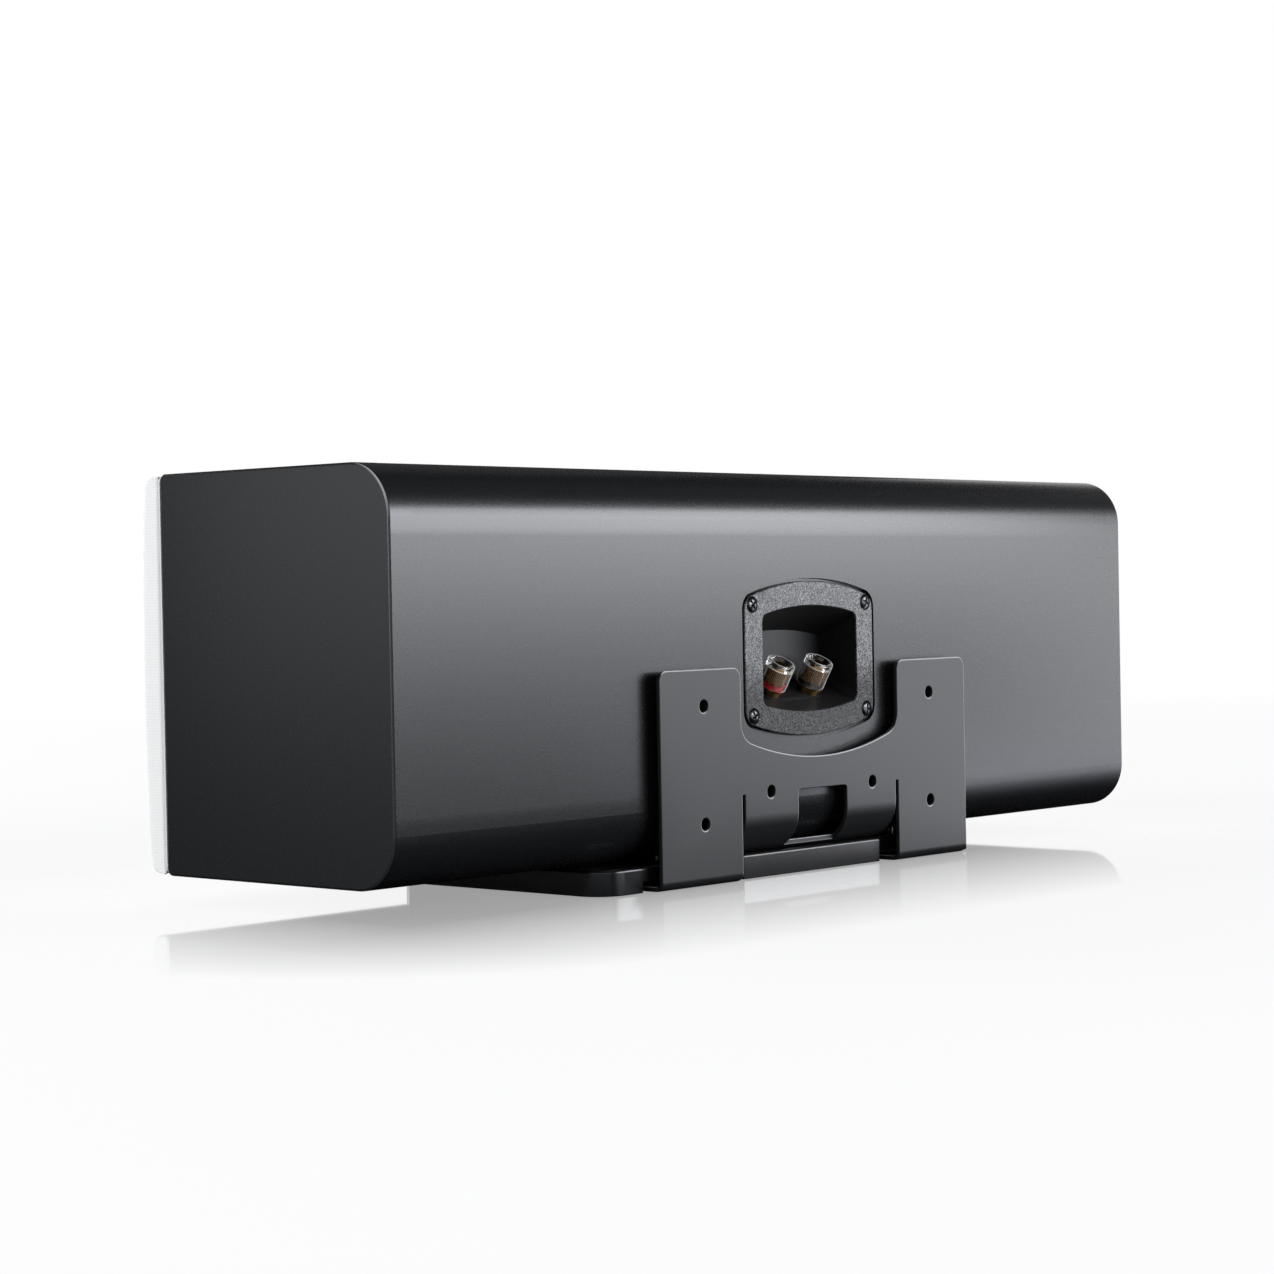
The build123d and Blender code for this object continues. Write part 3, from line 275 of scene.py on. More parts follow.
def cloth_sheet():
    """The cloth as a grid of its cut: rows along the section, columns along X and round both ends."""
    section = cloth_section()
    walked = [0.0]
    for (y0, z0), (y1, z1) in zip(section, section[1:]):
        walked.append(walked[-1] + hypot(y1 - y0, z1 - z0))
    half = cloth_high.x
    columns = [(half - cloth_end_round) * step / half_columns for step in range(half_columns + 1)]
    mesh = bmesh.new()
    cut = mesh.loops.layers.uv.new("cut")
    grid = {}
    for row, (y, z) in enumerate(section):
        stations = [(x, y, z, x) for x in columns]
        depth = cloth_high.y - y
        for step in range(1, end_steps + 1):
            turn = radians(90) * step / end_steps
            inset = min(cloth_end_round * (1 - cos(turn)), depth)
            x = half - cloth_end_round * (1 - sin(turn))
            stations.append((x, y + inset, z, half - cloth_end_round + cloth_end_round * turn))
        start = stations[-1]
        for step in range(1, side_steps + 1):
            back = start[1] + (cloth_high.y - start[1]) * step / side_steps
            stations.append((half, back, z, start[3] + back - start[1]))
        mirrored = [(-x, y, z, -u) for x, y, z, u in reversed(stations[1:])]
        for column, (x, y, z, u) in enumerate(mirrored + stations):
            grid[row, column] = (mesh.verts.new((x, y, z)), (u, walked[row]))
    last = max(column for _, column in grid)
    for row in range(len(section) - 1):
        for column in range(last):
            ring = [grid[row, column], grid[row, column + 1],
                    grid[row + 1, column + 1], grid[row + 1, column]]
            face = mesh.faces.new([vert for vert, _ in ring])
            face.smooth = True
            for loop, (_, lengths) in zip(face.loops, ring):
                loop[cut].uv = lengths
    bmesh.ops.dissolve_degenerate(mesh, dist=1e-7, edges=mesh.edges)
    bmesh.ops.remove_doubles(mesh, verts=mesh.verts, dist=1e-6)
    bmesh.ops.recalc_face_normals(mesh, faces=mesh.faces)
    made = bpy.data.meshes.new("grille_cover")
    mesh.to_mesh(made)
    mesh.free()
    width = 2 * (half + cloth_high.y - cloth_low.y)
    return made, (width, walked[-1])


cover_mesh, cover_cut = cloth_sheet()
cover_mesh.materials.append(woven_cloth())
grille_cover = bpy.data.objects.new("grille_cover", cover_mesh)
bpy.context.scene.collection.objects.link(grille_cover)
wall = grille_cover.modifiers.new("thickness", "SOLIDIFY")
wall.thickness = cloth_thickness
wall.offset = -1.0
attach(grille_cover, "speaker")
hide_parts("grille_cloth")


# Bass drivers: pressed steel baskets, paper cones on rubber rolls, cloth spiders, copper coils
# and ferrite magnets between zinc-plated steel plates. All of it is hidden by the grille.
metal = {"Metallic": 1.0}
basket_enamel = grained("black_enamel", "#141415", "#1D1D1E", 2.0 * mm, 0.4, 0.01 * mm)
paper_pulp = grained("black_paper_pulp", "#161616", "#2C2B29", 1.8 * mm, 0.85, 0.08 * mm)
resin_cloth = grained("amber_resin_cloth", "#7A5322", "#A5773A", 0.9 * mm, 0.8, 0.08 * mm)
wound_copper = grained("enamelled_copper", "#9A4E24", "#B8683A", 0.4 * mm, 0.3, 0.05 * mm, metal)
zinc_plate = grained("zinc_plated_steel", "#A9ABAC", "#C2C4C6", 1.5 * mm, 0.32, 0.004 * mm, metal)
dark_ferrite = grained("sintered_ferrite", "#2A2A2C", "#3A3A3C", 0.9 * mm, 0.65, 0.03 * mm)
for side in ("left", "right"):
    dress(basket_enamel, f"{side}_woofer_basket")
    dress(black_rubber, f"{side}_woofer_surround")
    dress(paper_pulp, f"{side}_woofer_cone", f"{side}_woofer_dust_cap")
    dress(resin_cloth, f"{side}_woofer_spider")
    dress(wound_copper, f"{side}_woofer_voice_coil")
    dress(zinc_plate, f"{side}_woofer_top_plate", f"{side}_woofer_yoke")
    dress(dark_ferrite, f"{side}_woofer_magnet")


# Treble driver: a coated silk dome in a moulded faceplate, on a small ferrite motor.
# It is screwed to the baffle between the bass drivers, and the grille hides it too.
faceplate_abs = grained("satin_black_abs", "#161617", "#1F1F21", 0.8 * mm, 0.45, 0.01 * mm)
coated_silk = grained("coated_silk", "#1A1A1B", "#262627", 0.5 * mm, 0.6, 0.03 * mm)
dress(faceplate_abs, "tweeter_faceplate")
dress(coated_silk, "tweeter_dome")
dress(zinc_plate, "tweeter_top_plate", "tweeter_yoke")
dress(dark_ferrite, "tweeter_magnet")


# Crossover: a phenolic board screwed inside the rear panel, with a copper coil and two capacitors.
# Wadding lines the top of the box, and insulated leads join cup, board and drivers.
phenolic = grained("phenolic_board", "#6B4A22", "#83602F", 2.5 * mm, 0.5, 0.01 * mm)
film_wrap = grained("capacitor_film", "#C08A1E", "#D9A637", 6.0 * mm, 0.3, 0.01 * mm)
polyester_wool = grained("polyester_wadding", "#C9CAC8", "#ECECEA", 3.0 * mm, 0.95, 0.6 * mm)
red_pvc = grained("red_pvc", "#A8141A", "#C01C22", 2.0 * mm, 0.4, 0.01 * mm)
black_pvc = grained("black_pvc", "#121213", "#1C1C1D", 2.0 * mm, 0.4, 0.01 * mm)
dress(phenolic, "crossover_board")
dress(wound_copper, "bass_coil")
dress(film_wrap, "bass_capacitor", "treble_capacitor")
dress(polyester_wool, "damping_wadding")
dress(red_pvc, "red_leads", "red_post_ring")
dress(black_pvc, "black_leads", "black_post_ring")


# Terminal cup: one ABS moulding, screwed over a thin foam gasket into the rear panel.
# Its flange has a coarse stippled grain from the tool, with painted glints on the grain and painted shade
# towards its foot.
# The recess is smooth and dark.
cup_low, cup_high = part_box("terminal_cup")
stipple = 0.52 * mm
stipple_relief = 0.25 * mm
flange_depth = 1.0 * mm
cup_height = cup_high.z - cup_low.z
shade_end = cup_low.z + 0.28 * cup_height
shade_start = cup_low.z + 0.52 * cup_height
# Painted shade: the share of the flange's glints and sheen left at its foot.
foot_shade = 0.45
foot_sheen = 0.22
full_sheen = 0.5


def stippled_abs():
    """Black ABS whose grain shows painted light-grey glints on the flange, dying out just inside the mouth,
    with painted shade towards the flange's foot.
    """
    made, tree, shader, place = begin("stippled_black_abs", cool_sheen)
    pits = add(tree, "ShaderNodeTexNoise", {"Scale": 1 / stipple, "Detail": 2.0, "Roughness": 0.6},
               {"Vector": place})
    where = add(tree, "ShaderNodeSeparateXYZ", None, {"Vector": place})
    on_flange = add(tree, "ShaderNodeMapRange", {
        "From Min": cup_high.y - flange_depth, "From Max": cup_high.y - flange_depth / 4},
        {"Value": where.outputs["Y"]})
    sharper = add(tree, "ShaderNodeMapRange", {"From Min": 0.48, "From Max": 0.53},
                  {"Value": pits.outputs["Fac"]})
    height = add(tree, "ShaderNodeMath", None,
                 {0: sharper.outputs["Result"], 1: on_flange.outputs["Result"]}, operation="MULTIPLY")
    # Painted shade: the flange's glints fade towards its foot.
    painted_foot_shade_ramp = add(tree, "ShaderNodeMapRange", {
        "From Min": shade_end, "From Max": shade_start, "To Min": foot_shade},
        {"Value": where.outputs["Z"]}, interpolation_type="SMOOTHSTEP")
    lit = add(tree, "ShaderNodeMath", None, {0: height.outputs[0], 1: painted_foot_shade_ramp.outputs["Result"]},
              operation="MULTIPLY")
    # Painted glints: the raised stipple on the flange is coloured light grey.
    colour = add(tree, "ShaderNodeMix", {6: linear("#040405"), 7: linear("#8E9093")},
                 {0: lit.outputs[0]}, data_type="RGBA")
    gloss = add(tree, "ShaderNodeMapRange", {"To Min": 0.58, "To Max": 0.34},
                {"Value": on_flange.outputs["Result"]})
    # Painted shade: the flange's sheen is lowered towards its foot.
    painted_foot_sheen_dimming = add(tree, "ShaderNodeMapRange", {
        "From Min": foot_shade, "To Min": foot_sheen, "To Max": full_sheen},
        {"Value": painted_foot_shade_ramp.outputs["Result"]})
    sheen = add(tree, "ShaderNodeMix", {2: full_sheen},
                {0: on_flange.outputs["Result"], 3: painted_foot_sheen_dimming.outputs["Result"]})
    bump = add(tree, "ShaderNodeBump", {"Distance": stipple_relief}, {"Height": height.outputs[0]})
    tree.links.new(sheen.outputs[0], shader.inputs["Specular IOR Level"])
    tree.links.new(colour.outputs[2], shader.inputs["Base Color"])
    tree.links.new(gloss.outputs["Result"], shader.inputs["Roughness"])
    tree.links.new(bump.outputs["Normal"], shader.inputs["Normal"])
    return made


black_foam = grained("black_foam", "#0B0B0C", "#141415", 0.7 * mm, 0.9, 0.05 * mm)
dress(stippled_abs(), "terminal_cup")
dress(black_foam, "terminal_gasket")


# Screws: cross-head screws of black-oxide steel, pan heads for the cup, the drivers and the board
# and countersunk heads under the base. Each is turned to where its driver happened to stop.
def solid_boxes(name):
    """Lowest and highest corner of each separate solid of a CAD node."""
    mesh = bmesh.new()
    mesh.from_mesh(solids[name].data)
    bmesh.ops.remove_doubles(mesh, verts=mesh.verts, dist=1e-6)
    found, seen = [], set()
    for vert in mesh.verts:
        if vert in seen:
            continue
        seen.add(vert)
        island = [vert]
        for reached in island:
            for edge in reached.link_edges:
                other = edge.other_vert(reached)
                if other not in seen:
                    seen.add(other)
                    island.append(other)
        low = Vector([min(v.co[axis] for v in island) for axis in range(3)])
        high = Vector([max(v.co[axis] for v in island) for axis in range(3)])
        found.append((low, high))
    mesh.free()
    return found


def inputs_and_output(tree, sizes):
    """The sockets of a tree that runs on points: its named sizes, an axis and a material."""
    tree.interface.new_socket("Points", in_out="INPUT", socket_type="NodeSocketGeometry")
    for size in sizes:
        tree.interface.new_socket(size, in_out="INPUT", socket_type="NodeSocketFloat")
    tree.interface.new_socket("Axis", in_out="INPUT", socket_type="NodeSocketVector")
    tree.interface.new_socket("Finish", in_out="INPUT", socket_type="NodeSocketMaterial")
    tree.interface.new_socket("Pieces", in_out="OUTPUT", socket_type="NodeSocketGeometry")
    return add(tree, "NodeGroupInput").outputs


def stand_on_points(tree, given, shape):
    """Ends a tree: the shape stands on every point along the axis, as one mesh with the finish."""
    upright = add(tree, "FunctionNodeAlignRotationToVector", None, {"Vector": given["Axis"]}, axis="Z")
    placed = add(tree, "GeometryNodeInstanceOnPoints", None, {
        "Points": given["Points"], "Instance": shape, "Rotation": upright.outputs["Rotation"]})
    stop = add(tree, "FunctionNodeRandomValue", {2: 0.0, 3: 2 * pi, "Seed": 7}, data_type="FLOAT")
    spin = add(tree, "ShaderNodeCombineXYZ", None, {"Z": stop.outputs[1]})
    turn = add(tree, "FunctionNodeEulerToRotation", None, {"Euler": spin.outputs["Vector"]})
    turned = add(tree, "GeometryNodeRotateInstances", None,
                 {"Instances": placed.outputs["Instances"], "Rotation": turn.outputs["Rotation"]})
    real = add(tree, "GeometryNodeRealizeInstances", None, {"Geometry": turned.outputs["Instances"]})
    finished = add(tree, "GeometryNodeSetMaterial", None,
                   {"Geometry": real.outputs["Geometry"], "Material": given["Finish"]})
    add(tree, "NodeGroupOutput", None, {"Pieces": finished.outputs["Geometry"]})


def cross_head_screws():
    """Tree of a cross-head screw with its seat on the point and its head along the axis."""
    tree = bpy.data.node_groups.new("cross_head_screws", "GeometryNodeTree")
    given = inputs_and_output(tree, (
        "Head radius", "Seat radius", "Head height", "Dome", "Recess length", "Recess width",
        "Recess depth", "Shank radius", "Shank length"))
    blank = add(tree, "GeometryNodeMeshCone", {"Vertices": 40, "Side Segments": 1, "Fill Segments": 6}, {
        "Radius Top": given["Head radius"], "Radius Bottom": given["Seat radius"],
        "Depth": given["Head height"]}, fill_type="TRIANGLE_FAN")
    place = add(tree, "GeometryNodeInputPosition").outputs["Position"]
    level = add(tree, "ShaderNodeVectorMath", {1: (1.0, 1.0, 0.0)}, {0: place}, operation="MULTIPLY")
    radius = add(tree, "ShaderNodeVectorMath", None, {0: level.outputs["Vector"]}, operation="LENGTH")
    share = add(tree, "ShaderNodeMath", None,
                {0: radius.outputs["Value"], 1: given["Head radius"]}, operation="DIVIDE")
    fall = add(tree, "ShaderNodeMath", {1: 4.0}, {0: share.outputs[0]}, operation="POWER")
    drop = add(tree, "ShaderNodeMath", None, {0: fall.outputs[0], 1: given["Dome"]}, operation="MULTIPLY")
    height = add(tree, "ShaderNodeSeparateXYZ", None, {"Vector": place}).outputs["Z"]
    half = add(tree, "ShaderNodeMath", {1: 0.5}, {0: given["Head height"]}, operation="MULTIPLY")
    upper = add(tree, "ShaderNodeMath", None, {0: height, 1: half.outputs[0]}, operation="GREATER_THAN")
    lowered = add(tree, "ShaderNodeMath", None, {0: drop.outputs[0], 1: upper.outputs[0]},
                  operation="MULTIPLY")
    down = add(tree, "ShaderNodeMath", {1: -1.0}, {0: lowered.outputs[0]}, operation="MULTIPLY")
    shift = add(tree, "ShaderNodeCombineXYZ", None, {"Z": down.outputs[0]})
    domed = add(tree, "GeometryNodeSetPosition", None,
                {"Geometry": blank.outputs["Mesh"], "Offset": shift.outputs["Vector"]})
    twice = add(tree, "ShaderNodeMath", {1: 2.0}, {0: given["Recess depth"]}, operation="MULTIPLY")
    top = add(tree, "ShaderNodeCombineXYZ", None, {"Z": given["Head height"]})
    recess = add(tree, "GeometryNodeMeshBoolean", None, {"Mesh 1": domed.outputs["Geometry"]},
                 operation="DIFFERENCE", solver="EXACT")
    for first, second in (("Recess length", "Recess width"), ("Recess width", "Recess length")):
        size = add(tree, "ShaderNodeCombineXYZ", None,
                   {"X": given[first], "Y": given[second], "Z": twice.outputs[0]})
        bar = add(tree, "GeometryNodeMeshCube", None, {"Size": size.outputs["Vector"]})
        raised = add(tree, "GeometryNodeTransform", None,
                     {"Geometry": bar.outputs["Mesh"], "Translation": top.outputs["Vector"]})
        tree.links.new(raised.outputs["Geometry"], recess.inputs["Mesh 2"])
    stem = add(tree, "GeometryNodeMeshCylinder", {"Vertices": 20}, {
        "Radius": given["Shank radius"], "Depth": given["Shank length"]})
    sink = add(tree, "ShaderNodeMath", {1: -0.5}, {0: given["Shank length"]}, operation="MULTIPLY")
    below = add(tree, "ShaderNodeCombineXYZ", None, {"Z": sink.outputs[0]})
    shank = add(tree, "GeometryNodeTransform", None,
                {"Geometry": stem.outputs["Mesh"], "Translation": below.outputs["Vector"]})
    screw = add(tree, "GeometryNodeJoinGeometry")
    tree.links.new(shank.outputs["Geometry"], screw.inputs["Geometry"])
    tree.links.new(recess.outputs["Mesh"], screw.inputs["Geometry"])
    stand_on_points(tree, given, screw.outputs["Geometry"])
    return tree


def grown(name, tree, points, values):
    """Runs a tree on points and keeps the result as a plain mesh object."""
    seeds = bpy.data.meshes.new(name)
    seeds.from_pydata(points, [], [])
    piece = bpy.data.objects.new(name, seeds)
    bpy.context.scene.collection.objects.link(piece)
    modifier = piece.modifiers.new(name, "NODES")
    modifier.node_group = tree
    for socket in tree.interface.items_tree:
        if socket.in_out == "INPUT" and socket.name in values:
            modifier[socket.identifier] = values[socket.name]
    shown = piece.evaluated_get(bpy.context.evaluated_depsgraph_get())
    piece.data = bpy.data.meshes.new_from_object(shown)
    piece.modifiers.clear()
    for face in piece.data.polygons:
        face.use_smooth = True
    piece.data.set_sharp_from_angle(angle=radians(35))
    return piece


black_oxide = grained("black_oxide_steel", "#3E3F42", "#5A5B5F", 0.8 * mm, 0.28, 0.004 * mm, metal)
screw_tree = cross_head_screws()


def pan_screws(node, axis, head_height, shank_radius):
    """Pan-head screws in the places of a CAD node's screws, along the axis that their heads face."""
    along = [abs(part) for part in axis].index(1.0)
    points = []
    for low, high in solid_boxes(node):
        middle = (low + high) / 2
        tip = high[along] if axis[along] > 0 else low[along]
        middle[along] = tip - axis[along] * head_height
        points.append(tuple(middle))
        length = high[along] - low[along] - head_height
        head_radius = (high[(along + 1) % 3] - low[(along + 1) % 3]) / 2
    screws = grown(node + "_cross_head", screw_tree, points, {
        "Head radius": head_radius, "Seat radius": head_radius, "Head height": head_height,
        "Dome": 0.45 * head_height, "Recess length": 1.4 * head_radius,
        "Recess width": 0.36 * head_radius, "Recess depth": 0.6 * head_height,
        "Shank radius": shank_radius, "Shank length": length, "Axis": axis, "Finish": black_oxide})
    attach(screws, "speaker")
    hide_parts(node)


rearward = (0.0, 1.0, 0.0)
forward = (0.0, -1.0, 0.0)
pan_screws("terminal_screws", rearward, head_height=1.8 * mm, shank_radius=1.5 * mm)
pan_screws("woofer_screws", forward, head_height=2.0 * mm, shank_radius=1.75 * mm)
pan_screws("tweeter_screws", forward, head_height=2.0 * mm, shank_radius=1.75 * mm)
pan_screws("crossover_screws", forward, head_height=1.6 * mm, shank_radius=1.5 * mm)

sunk_head_height = 1.8 * mm
sunk_shank_radius = 2.0 * mm
sunk_recess_depth = 1.2 * mm
sunk_points = []
for low, high in solid_boxes("base_screws"):
    middle = (low + high) / 2
    sunk_points.append((middle.x, middle.y, low.z + sunk_head_height))
    sunk_radius = (high.x - low.x) / 2
    sunk_length = high.z - low.z - sunk_head_height
sunk_screws = grown("base_screws_cross_head", screw_tree, sunk_points, {
    "Head radius": sunk_radius, "Seat radius": sunk_shank_radius, "Head height": sunk_head_height,
    "Dome": 0.0, "Recess length": 1.2 * sunk_radius, "Recess width": 0.28 * sunk_radius,
    "Recess depth": sunk_recess_depth, "Shank radius": sunk_shank_radius, "Shank length": sunk_length,
    "Axis": (0.0, 0.0, -1.0), "Finish": black_oxide})
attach(sunk_screws, "speaker")
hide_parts("base_screws")


# Binding posts: dull gilt brass studs held by nuts inside the box, each with a captive washer
# and a screw-down knob. The knob is a clear acrylic cap over a knurled core and a colour ring.
gilt_brass = grained("gilt_brass", "#836539", "#A58653", 1.0 * mm, 0.26, 0.004 * mm, metal)
knurl_count = 22.0
knurl_depth = 0.45 * mm
knurl_lead = 1.25 * mm
knurl_rows = 42
knurl_columns = 264


def knurled_sleeves():
    """Tree of a sleeve with a diamond knurl outside and a plain bore, standing on the point."""
    tree = bpy.data.node_groups.new("knurled_sleeve", "GeometryNodeTree")
    given = inputs_and_output(tree, (
        "Radius", "Bore", "Height", "Knurl count", "Knurl depth", "Knurl lead"))
    blank = add(tree, "GeometryNodeMeshGrid", {
        "Size X": 1.0, "Size Y": 1.0, "Vertices X": knurl_columns + 1, "Vertices Y": knurl_rows + 1})
    spot = add(tree, "ShaderNodeSeparateXYZ", None, {"Vector": blank.outputs["UV Map"]})
    angle = add(tree, "ShaderNodeMath", {1: 2 * pi}, {0: spot.outputs["X"]}, operation="MULTIPLY")
    row = add(tree, "ShaderNodeMath", {1: float(knurl_rows)}, {0: spot.outputs["Y"]}, operation="MULTIPLY")
    rise = add(tree, "ShaderNodeMapRange", {"From Min": 1.0, "From Max": knurl_rows - 2.0},
               {"Value": row.outputs[0]})
    not_last = add(tree, "ShaderNodeMath", {1: knurl_rows - 0.5}, {0: row.outputs[0]}, operation="LESS_THAN")
    level = add(tree, "ShaderNodeMath", None, {0: rise.outputs["Result"], 1: not_last.outputs[0]},
                operation="MULTIPLY")
    z = add(tree, "ShaderNodeMath", None, {0: level.outputs[0], 1: given["Height"]}, operation="MULTIPLY")
    around = add(tree, "ShaderNodeMath", None, {0: angle.outputs[0], 1: given["Knurl count"]},
                 operation="MULTIPLY")
    half_turn = add(tree, "ShaderNodeMath", {1: 0.5}, {0: around.outputs[0]}, operation="MULTIPLY")
    along = add(tree, "ShaderNodeMath", None, {0: z.outputs[0], 1: given["Knurl lead"]}, operation="DIVIDE")
    climb = add(tree, "ShaderNodeMath", {1: pi}, {0: along.outputs[0]}, operation="MULTIPLY")
    grooves = []
    for direction in ("ADD", "SUBTRACT"):
        path = add(tree, "ShaderNodeMath", None, {0: half_turn.outputs[0], 1: climb.outputs[0]},
                   operation=direction)
        wave = add(tree, "ShaderNodeMath", None, {0: path.outputs[0]}, operation="SINE")
        grooves.append(add(tree, "ShaderNodeMath", None, {0: wave.outputs[0]}, operation="ABSOLUTE"))
    ridge = add(tree, "ShaderNodeMath", None, {0: grooves[0].outputs[0], 1: grooves[1].outputs[0]},
                operation="MINIMUM")
    cut = add(tree, "ShaderNodeMath", {0: 1.0}, {1: ridge.outputs[0]}, operation="SUBTRACT")
    depth = add(tree, "ShaderNodeMath", None, {0: cut.outputs[0], 1: given["Knurl depth"]},
                operation="MULTIPLY")
    outside = add(tree, "ShaderNodeMath", None, {0: given["Radius"], 1: depth.outputs[0]},
                  operation="SUBTRACT")
    above = add(tree, "ShaderNodeMath", {1: 0.5}, {0: row.outputs[0]}, operation="GREATER_THAN")
    under = add(tree, "ShaderNodeMath", {1: knurl_rows - 1.5}, {0: row.outputs[0]}, operation="LESS_THAN")
    is_outside = add(tree, "ShaderNodeMath", None, {0: above.outputs[0], 1: under.outputs[0]},
                     operation="MULTIPLY")
    radius = add(tree, "ShaderNodeMix", None,
                 {0: is_outside.outputs[0], 2: given["Bore"], 3: outside.outputs[0]})
    flat = []
    for wave in ("COSINE", "SINE"):
        reach = add(tree, "ShaderNodeMath", None, {0: angle.outputs[0]}, operation=wave)
        flat.append(add(tree, "ShaderNodeMath", None, {0: reach.outputs[0], 1: radius.outputs[0]},
                        operation="MULTIPLY"))
    rolled = add(tree, "ShaderNodeCombineXYZ", None,
                 {"X": flat[0].outputs[0], "Y": flat[1].outputs[0], "Z": z.outputs[0]})
    tips = add(tree, "ShaderNodeMath", None, {0: ridge.outputs[0], 1: is_outside.outputs[0]},
               operation="MULTIPLY")
    marked = add(tree, "GeometryNodeStoreNamedAttribute", {"Name": "ridge"},
                 {"Geometry": blank.outputs["Mesh"], "Value": tips.outputs[0]},
                 data_type="FLOAT", domain="POINT")
    sleeve = add(tree, "GeometryNodeSetPosition", None,
                 {"Geometry": marked.outputs["Geometry"], "Position": rolled.outputs["Vector"]})
    closed = add(tree, "GeometryNodeMergeByDistance", {"Distance": 0.01 * mm},
                 {"Geometry": sleeve.outputs["Geometry"]})
    stand_on_points(tree, given, closed.outputs["Geometry"])
    return tree


def knurled_brass():
    """Brass that is rubbed bright on the tips of the knurl and stays brown in its grooves and ends."""
    made = grained("knurled_brass", "#7E5A34", "#AB8657", 1.0 * mm, 0.34, 0.004 * mm, metal)
    tree = made.node_tree
    ridge = add(tree, "ShaderNodeAttribute", attribute_name="ridge")
    rubbed = add(tree, "ShaderNodeMapRange", {"From Min": 0.3, "From Max": 0.85},
                 {"Value": ridge.outputs["Fac"]})
    tones = add(tree, "ShaderNodeMix", {6: linear("#21170E")},
                {0: rubbed.outputs["Result"], 7: tree.nodes["Mix"].outputs[2]}, data_type="RGBA")
    tree.links.new(tones.outputs[2], tree.nodes["Principled BSDF"].inputs["Base Color"])
    return made


def clear_acrylic():
    """Clear moulded acrylic with a painted highlight: its walls are mixed with white where they are seen
    edge on.
    """
    made = grained("clear_acrylic", "#FFFFFF", "#F7F7F5", 3.0 * mm, 0.06, 0.002 * mm, {
        "IOR": 1.49, "Transmission Weight": 1.0})
    tree = made.node_tree
    # Painted highlight: white is mixed in where the cap is seen edge on.
    edge_on = add(tree, "ShaderNodeLayerWeight", {"Blend": 0.5})
    painted_edge_share = add(tree, "ShaderNodeMapRange", {"From Min": 0.55, "From Max": 1.0, "To Max": 0.75},
                {"Value": edge_on.outputs["Facing"]})
    painted_edge_white = add(tree, "ShaderNodeBsdfDiffuse", {"Color": linear("#F4F4F2")})
    both = add(tree, "ShaderNodeMixShader", None, {
        0: painted_edge_share.outputs["Result"], 1: tree.nodes["Principled BSDF"].outputs["BSDF"],
        2: painted_edge_white.outputs["BSDF"]})
    tree.links.new(both.outputs["Shader"], tree.nodes["Material Output"].inputs["Surface"])
    return made


core_brass = knurled_brass()
cap_acrylic = clear_acrylic()
knurl_tree = knurled_sleeves()
for colour in ("red", "black"):
    turn = next(joint for joint in frame["joints"] if joint["name"] == f"{colour}_knob_turn")
    axis = Vector(turn["axis"])
    centre = Vector(turn["pos_m"])
    reaches = [vert.co - centre for vert in solids[f"{colour}_post_core"].data.vertices]
    heights = [reach.dot(axis) for reach in reaches]
    radii = [(reach - axis * reach.dot(axis)).length for reach in reaches]
    foot = centre + axis * min(heights)
    core = grown(f"{colour}_knurled_core", knurl_tree, [tuple(foot)], {
        "Radius": max(radii), "Bore": min(radii), "Height": max(heights) - min(heights),
        "Knurl count": knurl_count, "Knurl depth": knurl_depth, "Knurl lead": knurl_lead,
        "Axis": tuple(axis), "Finish": core_brass})
    normals = bmesh.new()
    normals.from_mesh(core.data)
    bmesh.ops.recalc_face_normals(normals, faces=normals.faces)
    normals.to_mesh(core.data)
    normals.free()
    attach(core, f"{colour}_knob")
    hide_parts(f"{colour}_post_core")
    dress(gilt_brass, f"{colour}_post_stud", f"{colour}_post_washer")
    dress(cap_acrylic, f"{colour}_post_cap")
dress(zinc_plate, "post_tags", "post_nuts")


# Mounting bracket: one sheet of 2 mm steel, punched and folded, screwed under the base.
# Black powder coat with a fine orange peel over punched edges that are tumbled round.
# A painted highlight lightens the edges that face up or outward, and painted shade takes the sheen off faces
# that look down.
edge_angle = radians(30)


def eased(name, width, finish):
    """A copy of a CAD solid with rounded edges, marked as edge, standing in the solid's place."""
    piece = bpy.data.objects.new(name + "_eased", solids[name].data.copy())
    bpy.context.scene.collection.objects.link(piece)
    mesh = bmesh.new()
    mesh.from_mesh(piece.data)
    bmesh.ops.remove_doubles(mesh, verts=mesh.verts, dist=1e-6)
    bmesh.ops.dissolve_limit(mesh, angle_limit=radians(0.3), verts=mesh.verts, edges=mesh.edges)
    mesh.to_mesh(piece.data)
    mesh.free()
    for face in piece.data.polygons:
        face.use_smooth = True
    piece.data.set_sharp_from_angle(angle=edge_angle)
    rounding = piece.modifiers.new("rounding", "BEVEL")
    rounding.width = width
    rounding.segments = 3
    rounding.limit_method = "ANGLE"
    rounding.angle_limit = edge_angle
    rounding.harden_normals = True
    rounding.use_clamp_overlap = False
    piece.data.materials.clear()
    piece.data.materials.append(finish)
    piece.data.materials.append(finish)
    rounding.material = 1
    shown = piece.evaluated_get(bpy.context.evaluated_depsgraph_get())
    piece.data = bpy.data.meshes.new_from_object(shown)
    piece.modifiers.clear()
    edge = piece.data.attributes.new("edge", "FLOAT", "FACE")
    for face in piece.data.polygons:
        edge.data[face.index].value = face.material_index
        face.material_index = 0
    piece.data.materials.pop()
    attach(piece, "speaker")
    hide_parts(name)
    return piece


